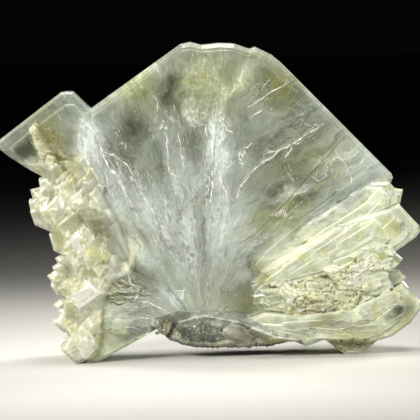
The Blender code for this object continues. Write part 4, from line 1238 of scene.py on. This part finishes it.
def slab(xs, zs, front, back, used):
    """A closed slab over the used places: corners, faces and the places the corners stand on."""
    quads = used[:-1, :-1] & used[1:, :-1] & used[:-1, 1:] & used[1:, 1:]
    count, wide = xs.size, xs.shape[1]
    corners = [
        (x, -y, z)
        for ys in (front, back)
        for x, y, z in zip(xs.ravel().tolist(), ys.ravel().tolist(), zs.ravel().tolist())
    ]
    faces = []
    for row, column in zip(*np.nonzero(quads)):
        a = int(row * wide + column)
        ring = (a, a + 1, a + 1 + wide, a + wide)
        faces.append(ring)
        faces.append(tuple(i + count for i in reversed(ring)))
        for (p, q), (down, right) in zip(
            zip(ring, ring[1:] + ring[:1]), ((-1, 0), (0, 1), (1, 0), (0, -1))
        ):
            r, c = row + down, column + right
            if not (0 <= r < quads.shape[0] and 0 <= c < quads.shape[1] and quads[r, c]):
                faces.append((q, p, p + count, q + count))
    keep = sorted({i for face in faces for i in face})
    new = {old: i for i, old in enumerate(keep)}
    return [corners[i] for i in keep], [tuple(new[i] for i in face) for face in faces], keep


def sheet(name, outline, relief, material, step, soft, fade=0.7, spread=0, slot="crystal"):
    """A closed sheet within the outline; relief gives each place's rise and its three marks."""
    first, last = np.min(outline, axis=0), np.max(outline, axis=0)
    xs, zs = np.meshgrid(
        np.arange(first[0], last[0], step), np.arange(first[1], last[1], step)
    )
    seen = solid_front(xs, zs, slot == "matrix")
    known = seen != NOTHING
    proud = top = np.where(known, seen, 0.0)
    for _ in range(spread):
        for shift in SIDEWAYS:
            top = np.where(known, np.maximum(top, np.roll(top, shift, (0, 1))), 0.0)
    level = np.maximum(proud, softened(top, known, soft))
    inner = inwards(xs, zs, known, outline, step)
    used = inner >= 0.0
    fading = np.clip(inner / fade, 0.0, 1.0)
    fading = fading * fading * (3 - 2 * fading)
    rise, (white, yellow, nook) = relief(xs, zs, level)
    front = proud + fading * (level - proud + rise + LIFTED) - DIP * (1 - fading)
    # Dips in the sheet are darkened through the third mark, as painted shade.
    hollow = np.clip((softened(front, used, 3) - front) * 8.0, 0.0, 1.0)
    corners, faces, keep = slab(xs, zs, front, proud - SKIN, used)
    made = piece(name, corners, faces, material)
    marks = np.stack([m.ravel() for m in (white, yellow, fading * hollow + nook)], axis=1)
    made.data.attributes.new("growth", "FLOAT_VECTOR", "POINT").data.foreach_set(
        "vector", np.concatenate([marks, marks])[keep].ravel().astype(np.float32)
    )
    made.data.shade_smooth()
    return made


ground = solid_front(*np.meshgrid([-16.0, 0.0, 16.0], [12.0]), False)
print("the crystal comes forward", ground.round(1).tolist()[0], "mm, left to right")

# %% [markdown]
# ## Sugary tunellite
# Each young crystal has its own look: some are white, some clear, some straw-coloured, and
# all have a fine grain like sugar, which makes them half matt. A material for each crystal
# would need as many as there are crystals. So the sheet carries three numbers at each corner,
# and one material reads them: how white it is, how yellow, and how deep it lies in a nook.
# The whiteness also carries painted highlights on borders and seams and painted light on
# crumb tops. The nook mark darkens clay pits and ridges, and dips and crevices as painted
# shade. Noise adds patches of 2 mm, of 0.7 mm and a grain of 0.25 mm.

# %% Sugary crystal
sugary, tree, shader = new_material("sugary tunellite")
place = drawing_place(tree)
growth = add(tree, "Attribute", out="Vector", attribute_name="growth")
growth = add(tree, "SeparateXYZ", [growth]).node.outputs
broad, middling, fine = (
    add(tree, "TexNoise", {"Vector": place, "Scale": scale, "Detail": 4.0, "Roughness": 0.65})
    for scale in (0.55, 1.5, 4.0)
)
grains = add(tree, "Math", [middling, 0.8, 0.1], operation="MULTIPLY_ADD")
grains = add(tree, "Math", [fine, 0.2, grains], operation="MULTIPLY_ADD")
grains = add(tree, "MapRange", [grains, 0.42, 0.78])
whiteness = add(tree, "Math", [growth["X"], 0.36, 0.33], operation="MULTIPLY_ADD")
whiteness = add(tree, "Math", [grains, 0.32, whiteness], operation="MULTIPLY_ADD")
whiteness = add(tree, "Math", [whiteness, 0.0], use_clamp=True)
yellow = add(tree, "MapRange", [broad, 0.36, 0.64])
yellow = add(tree, "Math", [yellow, 0.55, growth["Y"]], operation="MULTIPLY_ADD")
yellow = add(tree, "Math", [yellow, 0.9], operation="MULTIPLY", use_clamp=True)
stained = spots(tree, bend(tree, place, 0.8, 1.2), STAINS)
stained = add(tree, "Math", [stained, grains], operation="MULTIPLY", use_clamp=True)
# The nook mark darkens: clay in pits and ridge, painted shade in dips and crevices.
nooks = add(tree, "MapRange", [grains, 0.0, 1.0, 0.5, 1.1])
nooks = add(tree, "Math", [growth["Z"], nooks], operation="MULTIPLY", use_clamp=True)
tone = linear("#9AA08A")
for factor, way, laid in (
    (whiteness, "MIX", "#E2E4D8"), (yellow, "MULTIPLY", "#ECE9B6"), (stained, "MIX", "#99955A"),
    (nooks, "MIX", "#69653E"),
):
    tone = add(
        tree, "Mix", {0: factor, 6: tone, 7: linear(laid)}, out=2, data_type="RGBA",
        blend_type=way,
    )
fill(tree, shader, {
    "Base Color": tone,
    "Transmission Weight": add(tree, "MapRange", [whiteness, 0.0, 1.0, 0.28, 0.08]),
    "Roughness": add(tree, "MapRange", [fine, 0.35, 0.65, 0.22, 0.45]),
    "Normal": add(tree, "Bump", {"Strength": 0.5, "Distance": 0.05 * MM, "Height": grains}),
    "IOR": 1.53,
})
print("sugary nodes:", len(tree.nodes))

# %% [markdown]
# ## The rhombs of the left heap
# The left side is a staircase of rhombs, white, clear or straw-coloured, that all point up and
# out. The larger ones have rows, because they make up its outline and its pattern of light
# and dark. Many small ones, sown at random, break up the rest.

# %% Rhombs
RHOMBS = [
    # x, z, half length, half width, heading, stands proud, white, yellow
    (-20.5, 22.6, 0.8, 0.7, 40, 0.45, 1.0, -0.3), (-21.5, 21.4, 0.8, 0.6, 20, 0.35, -0.4, 0.0),
    (-20.7, 21.0, 0.7, 0.7, 70, 0.45, 0.9, -0.2), (-21.7, 20.2, 0.8, 0.8, 45, 0.40, -0.2, 0.2),
    (-21.7, 18.7, 1.1, 0.9, 30, 0.40, -0.1, 0.2), (-20.9, 17.7, 1.1, 0.8, -20, 0.40, 0.3, 0.1),
    (-18.4, 19.5, 1.9, 1.6, 48, 0.55, -0.2, 0.35), (-19.4, 23.7, 1.0, 0.9, 30, 0.40, -0.6, 0.2),
    (-18.0, 21.6, 1.5, 1.1, 25, 0.35, 0.3, 0.2), (-17.0, 17.1, 1.8, 1.5, 40, 0.40, -0.2, 0.5),
    (-18.7, 16.2, 1.3, 1.1, 60, 0.50, 0.0, 0.6), (-16.9, 14.6, 1.7, 1.5, 40, 0.35, 0.6, -0.3),
    (-14.5, 13.9, 1.4, 1.5, 35, 0.50, 0.1, 0.5), (-13.3, 16.4, 2.5, 1.3, 118, 0.35, -1.1, 0.2),
    (-18.4, 12.3, 2.0, 1.7, 20, 0.45, 0.2, 0.2), (-16.2, 9.2, 2.0, 1.8, -40, 0.60, 0.5, -0.3),
    (-16.3, 6.9, 2.2, 1.4, 5, 0.45, 0.2, 0.5), (-19.4, 7.5, 0.9, 0.7, 20, 0.40, 0.9, -0.2),
    (-19.0, 5.5, 1.2, 0.9, 30, 0.40, 0.8, -0.3), (-17.7, 4.6, 1.3, 0.9, -20, 0.40, 0.4, 0.0),
    (-15.4, 4.6, 1.0, 0.7, 45, 0.45, 0.7, 0.2), (-16.9, 3.0, 1.6, 1.2, 25, 0.40, 0.3, 0.1),
    (-15.2, 2.5, 1.3, 1.2, 45, 0.45, 0.5, 0.0), (-15.9, 19.2, 1.1, 1.6, 20, 0.30, -0.4, 0.1),
    (-14.9, 12.0, 1.5, 1.0, 10, 0.30, -0.5, 0.7), (-19.6, 10.0, 1.0, 0.8, 10, 0.35, 0.4, 0.1),
]
SMALL_RHOMBS = 170    # sown all over the heap
for _ in range(SMALL_RHOMBS):
    x, z = chance.uniform(-21.5, -12.8), chance.uniform(1.0, 24.0)
    size = chance.uniform(0.35, 0.95)
    RHOMBS.append((
        x, z, size, size * chance.uniform(0.6, 1.0), chance.uniform(20, 70),
        chance.uniform(0.02, 0.62), chance.gauss(0.1, 0.4), chance.gauss(0.25, 0.25),
    ))
rhomb_turns = random.Random(5)
RHOMB_TILTS = [(rhomb_turns.gauss(0, 0.10), rhomb_turns.gauss(0, 0.10)) for _ in RHOMBS]
print(len(RHOMBS), "rhombs")

# %% [markdown]
# ## Left heap
# Each rhomb is a tilted plane with fine terraces, which falls away beyond its rim. At each
# place the highest one wins, as where crystals grow through each other, and the seam between
# two of them and each one's border are whiter, partly as a painted highlight. Real prisms
# pushed together would need slow joining and leave slivers. Along its inner side the sheet
# also carries the flank by which the heap runs down into the plate: a smooth curve from the
# heap's height to the plate's, with streaks down it and a pit of olive clay.

# %% Left heap
PLATE_FRONT = 2.25    # how far the plate comes forward, in millimetres
RHOMB_RIM, BORDER = 0.86, 0.84    # where a rhomb falls away, and where it is whitest
FLANK = [    # z, x at the heap, proud there, x at the plate
    (9.0, -11.8, 4.6, -9.4), (11.6, -12.4, 5.0, -9.6), (14.2, -13.0, 5.4, -9.8),
    (17.0, -13.4, 5.3, -10.6), (20.2, -14.4, 4.4, -12.0), (23.4, -15.4, 3.2, -13.8),
    (24.8, -15.9, 2.6, -14.5),
]
PIT = (-13.25, 16.1, -61)    # x, z and heading of the pit of clay


def grown_rhombs(xs, zs, level):
    """The height and the marks of the left heap and its flank."""
    low, proud, plate = (
        np.interp(zs, [row[0] for row in FLANK], [row[i] for row in FLANK]) for i in (1, 2, 3)
    )
    across = np.clip((xs - low) / (plate - low), 0.0, 1.0)
    flank = proud + (PLATE_FRONT - proud) * (0.5 - 0.5 * np.cos(np.pi * across ** 1.2))
    beside = (xs > low - 0.6) & (zs > FLANK[0][0]) & (zs < FLANK[-1][0])
    flank = np.where(beside, flank, 0.0)
    best, second = np.zeros_like(xs), np.full_like(xs, -9.0)
    white, yellow = np.zeros_like(xs), np.zeros_like(xs)
    for (x, z, long, wide, heading, stands, whiter, yellower), (tip, roll) in zip(
        RHOMBS, RHOMB_TILTS
    ):
        u, v = turned_to(xs, zs, x, z, heading)
        out = np.maximum(np.abs(u / long - 0.25 * v / wide), np.abs(v / wide))
        own = 0.6 * stands + tip * u + roll * v - 0.03 * np.floor(3.4 * out)
        own -= 0.9 * np.maximum(out - RHOMB_RIM, 0) * wide
        wins = own > best
        second = np.where(wins, best, np.maximum(second, own))
        # Borders and seams are whiter, partly as a painted highlight along the rhombs' edges.
        border = np.exp(-(((out - BORDER) / 0.08) ** 2))
        white = np.where(wins, whiter + 0.9 * border, white)
        yellow, best = np.where(wins, yellower, yellow), np.where(wins, own, best)
    seam = np.exp(-(((best - second) / 0.05) ** 2))
    inner = np.clip((xs - low) / 1.5, 0.0, 1.0)
    along, side = turned_to(xs, zs, *PIT)
    lines = rough(along * 0.35, side * 2.4, 8.0)
    pit = np.exp(-(((along / 2.5) ** 2 + (side / 1.0) ** 2) ** 2))
    rise = best * (1 - inner) + 0.07 * rough(xs * 1.2, zs * 1.2, 2.0) * (1 - 0.6 * inner)
    rise += np.maximum(flank - level, 0.0) + inner * 0.05 * lines
    return rise, (
        (white + 0.9 * seam) * (1 - inner) + (0.95 + 1.6 * lines) * inner,
        yellow * (1 - inner) + 0.1 * inner,
        0.75 * pit * (0.7 + 0.9 * lines),
    )


HEAP_OUTLINE = [
    (-24.0, 25.2), (-16.6, 25.4), (-14.6, 24.4), (-13.2, 21.6), (-11.4, 18.6), (-9.6, 15.6),
    (-9.0, 13.4), (-9.4, 11.4), (-11.8, 10.2), (-12.9, 8.0), (-12.9, 6.0), (-13.2, 3.4),
    (-12.8, 1.6), (-15.0, -0.4), (-24.0, -0.4),
]
sheet("left_heap", HEAP_OUTLINE, grown_rhombs, sugary, step=0.11, soft=14, spread=4)

# %% [markdown]
# ## Crumbly hollow
# The hollow on the right is a crumbly mass of crystal and clay: low rounded crumbs of 0.3 to
# 0.9 mm on uneven ground, with crevices between them and a few deep holes. Their colour
# carries painted light and shade: higher places are lighter, and crevices and holes darker,
# partly from clay and partly as painted shade. Thousands of grains would do, but they would
# have to be packed without gaps. Distances to scattered points give a packed mass at once, in
# a coarse set and a fine one, and the crevices between two crumbs are marked as seams.

# %% Hollow
HOLES = [    # x, z and how wide
    (8.9, 8.2, 0.9), (10.2, 7.6, 0.5), (13.1, 7.7, 0.8), (20.4, 9.0, 0.7), (16.9, 9.4, 0.6),
    (15.0, 8.6, 0.5), (12.4, 9.8, 0.5),
]
COARSE, FINE = 1.2, 3.4    # crumbs to a millimetre


def crumbs(xs, zs, level):
    """The height and the marks of the crumbly hollow."""
    rise, seam = np.zeros_like(xs), np.zeros_like(xs)
    for row, (xs_row, zs_row) in enumerate(zip(xs.tolist(), zs.tolist())):
        for column, (x, z) in enumerate(zip(xs_row, zs_row)):
            at = Vector((x, z * 1.25, 0.0)) + noise.noise_vector(Vector((x, z, 5.0))) * 0.25
            near, far = noise.voronoi(at * COARSE)[0][:2]
            close, next_one = noise.voronoi(at * FINE)[0][:2]
            broken = 0.5 + 0.5 * noise.noise(at * 0.5 + Vector((0.0, 0.0, 7.0)))
            rise[row, column] = (
                0.30 * min(far - near, 0.3) + 0.25 * broken * min(next_one - close, 0.4)
                + 0.45 * noise.noise(at * 0.42) + 0.25 * noise.noise(at * 1.7)
                + 0.14 * noise.noise(at * 4.1)
            )
            seam[row, column] = (2.2 * broken - 0.7) * max(
                0.0, 1.0 - 14.0 * min(far - near, 0.12 + next_one - close)
            )
    seam = np.clip(seam, 0.0, 1.0)
    holes = sum(np.exp(-(np.hypot(xs - x, (zs - z) * 1.6) / size) ** 2) for x, z, size in HOLES)
    # Higher places are painted lighter and seams darker: painted light and shade.
    white = 1.2 + 1.0 * rise + 0.5 * rough(xs * 1.4, zs * 1.4, 3.0) - seam
    yellow = 0.3 + 0.5 * rough(xs * 0.5, zs * 0.5, 9.0)
    # Seams and holes darken through the third mark, partly clay, partly painted shade.
    return rise - 0.22 * seam - 0.7 * holes, (white, yellow, 0.55 * seam + 1.1 * holes)


HOLLOW_OUTLINE = [
    (7.6, 9.8), (10.6, 11.6), (13.6, 11.4), (16.8, 13.6), (20.6, 14.4), (22.0, 12.6),
    (22.2, 9.6), (20.4, 7.6), (16.4, 5.9), (11.4, 5.7), (8.0, 6.6),
]
sheet("hollow_crust", HOLLOW_OUTLINE, crumbs, sugary, step=0.10, soft=14, fade=1.0)

# %% [markdown]
# ## Seam of the smaller plate
# Where the smaller plate meets the rest there is a smooth ridge of amber clay and crystal,
# with crumbs heaped against its lower side. The two could be pieces of their own, but they
# run into each other. So they are one sheet: the hollow's crumbs, drawn finer, that fade out
# towards a line, and a round ridge along that line.

# %% Seam crust
RIDGE = [(-21.5, 30.0), (-20.6, 28.4), (-19.7, 26.8), (-18.7, 25.2), (-17.9, 24.2)]


def seam_crumbs(xs, zs, level):
    """The height and the marks of the ridge and of the crumbs beside it."""
    # The crumbs bring their painted light and shade with them.
    rise, (white, yellow, nook) = crumbs(xs * 2.2 + 40.0, zs * 2.2, level)
    ridge = np.exp(-(((off_line(xs, zs, RIDGE) + 0.3 * rise) / 0.42) ** 2))
    return (
        0.4 * rise * (1 - ridge) + 0.40 * ridge,
        (white * (1 - ridge), yellow + 0.15, 1.2 * nook + 0.85 * ridge),
    )


SEAM_OUTLINE = [
    (-23.0, 29.2), (-21.8, 30.6), (-20.8, 30.0), (-19.4, 27.9), (-18.0, 26.2), (-16.6, 25.0),
    (-17.2, 23.0), (-19.4, 22.8), (-21.6, 23.6), (-21.8, 26.2),
]
sheet("seam_crust", SEAM_OUTLINE, seam_crumbs, sugary, step=0.10, soft=8)

# %% [markdown]
# ## Lobes on the matrix
# The crust under the root ends in a few rounded lobes of grey crystal, half clear, with thin
# rims in a painted highlight, and the plate's own lower rim is a line of painted highlight
# above them. Their low places are painted darker as shade. Lobes cut into the solid would
# leave its gap to the crystal open to view. So they are another sheet, over the matrix and
# the plate's lower rim together, which also closes the narrow gap that the two solids keep.

# %% Lobes
LOBES = [
    # x, z, half length, half width, heading, bulge, white, yellow
    (-1.4, 4.0, 3.2, 1.7, -4, 0.6, 0.0, 0.0), (-4.6, 3.7, 1.4, 0.8, -30, 0.5, 0.15, 0.3),
    (3.7, 3.5, 2.4, 1.2, -22, 0.6, 0.2, 0.15), (8.4, 2.9, 2.6, 0.8, -6, 0.5, 0.2, 0.9),
    (2.0, 2.5, 1.6, 0.5, 10, 0.5, 0.2, 0.4), (6.4, 4.0, 1.5, 0.7, -24, 0.5, 0.3, 0.4),
    (-1.8, 2.4, 2.0, 0.5, 0, 0.45, 0.15, 0.1), (1.0, 4.9, 1.2, 0.5, -10, 0.5, 0.25, 0.1),
]
PLATE_RIM = [
    (-7.5, 5.1), (-6.4, 4.5), (-5.0, 4.9), (-2.3, 5.6), (-0.8, 5.9), (2.5, 5.4), (4.3, 5.0),
    (6.5, 4.3), (8.0, 3.6), (11.0, 3.2),
]


def lobes(xs, zs, level):
    """The height and the marks of the lobes, under the plate's rim, which has a painted highlight.
    """
    best, white, yellow = np.zeros_like(xs), np.zeros_like(xs), np.zeros_like(xs)
    uneven = rough(xs * 1.3, zs * 1.3, 2.0)
    for x, z, long, wide, heading, bulge, whiter, yellower in LOBES:
        u, v = turned_to(xs, zs, x, z, heading)
        out = np.hypot(u / long, v / wide) + 0.22 * uneven
        own = 0.1 + bulge * (1 - np.clip(out, 0, 1) ** 2.5 - 3.0 * np.maximum(out - 1, 0))
        wins = own > best
        # Each lobe's lower rim is whiter, a painted highlight.
        low_rim = np.exp(-(((out - 0.93) / 0.06) ** 2)) * np.clip(0.6 - v / wide, 0.2, 1.0)
        white = np.where(wins, whiter + 0.7 * low_rim, white)
        yellow, best = np.where(wins, yellower, yellow), np.where(wins, own, best)
    # The plate's lower rim is a line of painted highlight.
    rim = np.exp(-((off_line(xs, zs, PLATE_RIM) + 0.1 * uneven) / 0.10) ** 2)
    above = zs - np.interp(xs, *zip(*PLATE_RIM))
    above = np.clip(above / 0.2, 0.0, 1.0)
    rise = best * (1 - above) + 0.10 * uneven + 0.2 * rim
    # The third mark darkens the low places, where the noise dips, as painted shade.
    return rise, (
        white + 0.7 * rim + above * np.clip(0.25 - 0.08 * xs, 0.25, 0.6), yellow * (1 - above),
        np.clip(-1.2 * uneven - 0.3, 0, 1) * (1 - rim) * (1 - above),
    )


LOBES_OUTLINE = [
    (-7.4, 5.6), (-5.4, 6.0), (-3.8, 6.6), (-1.2, 7.0), (2.4, 6.4), (5.4, 5.9), (8.4, 4.6),
    (11.8, 3.8), (11.8, 0.6), (-7.4, 0.6),
]
grey_lobes = grey_crystal("grey crystal", "#454940", "#707463", "#D2D6C6", 0.25)
sheet(
    "base_lobes", LOBES_OUTLINE, lobes, grey_lobes, step=0.10, soft=8, fade=0.5, spread=2,
    slot="matrix",
)

# %% [markdown]
# ## Grit
# Clay and broken crystal are caught where the blades leave a nook. Clay is dull and rough, and
# chips of crystal are glossy and let a little light by. A texture would look painted on, for
# grit lies loose. So three kinds of grain are mixed, dark clay, olive clay and straw-coloured
# chips, and each patch of about 0.3 mm, a grain or two, has its own tone.

# %% Kinds of grit
def grit_material(name, dark, light, rough, through):
    """Broken grains of one kind, each patch of them a little darker or lighter."""
    made, tree, shader = new_material(name)
    place = drawing_place(tree)
    cells = add(tree, "TexVoronoi", {"Vector": place, "Scale": 3.2}, out="Color")
    cells = add(tree, "SeparateColor", [cells])
    tone = add(
        tree, "Mix", {0: cells, 6: linear(dark), 7: linear(light)}, out=2, data_type="RGBA"
    )
    fill(tree, shader, {
        "Base Color": tone,
        "Roughness": add(tree, "MapRange", [cells, 0.0, 1.0, rough, rough * 0.5]),
        "Transmission Weight": through,
        "IOR": 1.5,
    })
    return made


dark_clay = grit_material("dark clay", "#38341F", "#625B38", 0.9, 0.0)
olive_clay = grit_material("olive clay", "#7C7640", "#B5B078", 0.8, 0.1)
chips = grit_material("crystal chips", "#BDBC8C", "#ECECD0", 0.35, 0.35)
print("grit:", ", ".join(kind.name for kind in (dark_clay, olive_clay, chips)))

# %% [markdown]
# ## Grit in the nooks
# It lies in the hollow on the right, in the seam of the smaller plate, under the arch, and
# all through the golden foot. Letting grains fall would take a simulation. They are sown by
# zone instead, each a little sunk, and a third as many on the back.

# %% Grit
GRIT = [
    # zone (x, z, wide, tall, lean), then how many of dark clay, olive clay and chips, sizes
    ((14.0, 8.4, 4.4, 1.7, 0), (20, 90, 200), (0.05, 0.24)),
    ((11.4, 9.6, 3.6, 1.0, -20), (6, 30, 60), (0.05, 0.2)),
    ((17.6, 9.6, 2.6, 1.4, 0), (6, 30, 60), (0.05, 0.2)),
    ((10.0, 7.0, 2.4, 0.7, 10), (8, 30, 60), (0.04, 0.16)),
    ((11.6, 8.2, 1.6, 0.7, 0), (30, 40, 30), (0.06, 0.18)),
    ((18.4, 8.6, 1.0, 1.0, 0), (20, 40, 30), (0.06, 0.18)),
    ((17.4, 12.4, 2.4, 0.8, -20), (6, 30, 90), (0.08, 0.26)),
    ((-21.2, 30.2, 0.7, 1.0, -40), (2, 24, 24), (0.03, 0.08)),
    ((-20.2, 28.6, 0.9, 1.4, -36), (8, 70, 60), (0.03, 0.10)),
    ((-19.2, 26.9, 1.2, 1.5, -30), (12, 90, 90), (0.03, 0.12)),
    ((-18.2, 25.2, 1.4, 1.3, -20), (12, 90, 110), (0.04, 0.14)),
    ((-17.0, 23.4, 1.5, 1.5, -22), (8, 80, 90), (0.04, 0.16)),
    ((17.6, 2.6, 3.2, 0.9, 0), (20, 170, 220), (0.06, 0.17)),
    ((-6.2, 4.9, 0.9, 0.5, 0), (8, 30, 10), (0.05, 0.14)),
    ((0.4, 35.2, 1.6, 0.9, -20), (5, 16, 12), (0.03, 0.08)),
    ((5.0, 12.0, 1.6, 1.2, 0), (0, 10, 10), (0.04, 0.09)),
]
for index, (name, material) in enumerate(
    (("dark_grit", dark_clay), ("olive_grit", olive_clay), ("pale_grit", chips))
):
    corners, faces = [], []
    for zone, counts, sizes in GRIT:
        sow(corners, faces, zone, counts[index], sizes, sunk=0.42)
        sow(corners, faces, zone, counts[index] // 3, sizes, side=1, sunk=0.42)
    piece(name, corners, faces, material)

# %% [markdown]
# ## Golden lump
# The crust ends on the left in a lump of golden, half clear crystal under the edge of the
# plate. One rough ball would look like putty. Eight large grains that overlap make it, and
# its facets catch the light.

# %% Golden lump
LUMP_Y = -1.9    # just in front of the matrix
LUMP_GRAINS = [    # x, z and half size
    (-6.9, 4.5, 0.4), (-6.3, 4.2, 0.5), (-5.8, 3.7, 0.5), (-6.5, 3.7, 0.4), (-5.3, 4.2, 0.5),
    (-5.7, 4.7, 0.6), (-5.2, 4.9, 0.4), (-6.3, 4.8, 0.4),
]
corners, faces = [], []
for x, z, size in LUMP_GRAINS:
    grain(corners, faces, (x, LUMP_Y, z), size)
piece("golden_lump", corners, faces, chips)

# %% [markdown]
# ## Clay in the fan
# The little fan at the lower left is made of fibres, and threads of olive clay lie between
# them. Stripes in the crystal's material would have soft ends and no depth. So they are fins
# like the cracks, thin and wavy, that point back to the root, in a dull clay.

# %% Clay threads
THREAD_ROOT = Vector((-1.0, 7.2))
THREADS = (-11.8, 9.6, 3.0, 2.2, 0, 80)    # x, z, wide, tall, lean and how many
corners, faces = [], []
for place in in_oval(*THREADS):
    way = (THREAD_ROOT - place).normalized()
    aside = Vector((-way.y, way.x)) * chance.uniform(0.05, 0.16)
    turn = chance.uniform(0.0, 6.28)
    line = [
        place + way * 0.18 * k + aside * math.sin(0.8 * k + turn)
        for k in range(chance.randint(6, 16))
    ]
    fin(corners, faces, line, chance.uniform(0.06, 0.16), 0.2)
clay_in_fan = grit_material("clay in the fan", "#4C4E34", "#85865C", 0.9, 0.1)
piece("clay_threads", corners, faces, clay_in_fan)

# %% [markdown]
# ## Rubble on the matrix
# The crust is rough with small grains, grey ones and clearer ones that catch the light. Relief
# in the material would stay smooth in outline. So real grains are scattered over the whole
# solid, as many to each face as its area asks for. The solid keeps a small gap from the
# crystals, and the rubble fills that seam too, as the real crust does.

# %% Rubble
def scattered(node, count):
    """Random places all over a solid, in the drawing's millimetres."""
    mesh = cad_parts[node].data
    mesh.calc_loop_triangles()
    triangles = [[mesh.vertices[v].co for v in t.vertices] for t in mesh.loop_triangles]
    areas = [((b - a).cross(c - a)).length for a, b, c in triangles]
    for a, b, c in chance.choices(triangles, areas, k=count):
        u, v = chance.random(), chance.random()
        if u + v > 1:
            u, v = 1 - u, 1 - v
        yield UNDRAWN @ (a + (b - a) * u + (c - a) * v)


rubble_grey = grit_material("grey rubble", "#66685A", "#A9AC9B", 0.5, 0.3)
rubble_clear = grit_material("clear rubble", "#A9AC9B", "#E8EADD", 0.15, 0.5)
SMALLEST = 0.08    # half size in millimetres
for name, material, count, largest in (
    ("rubble", rubble_grey, 900, 0.24), ("rubble_sparks", rubble_clear, 420, 0.16)
):
    corners, faces = [], []
    for place in scattered("base_matrix", count):
        size = SMALLEST + (largest - SMALLEST) * chance.random() ** 2
        if (DRAWN @ place).z > size * MM:
            grain(corners, faces, place, size)
    piece(name, corners, faces, material)
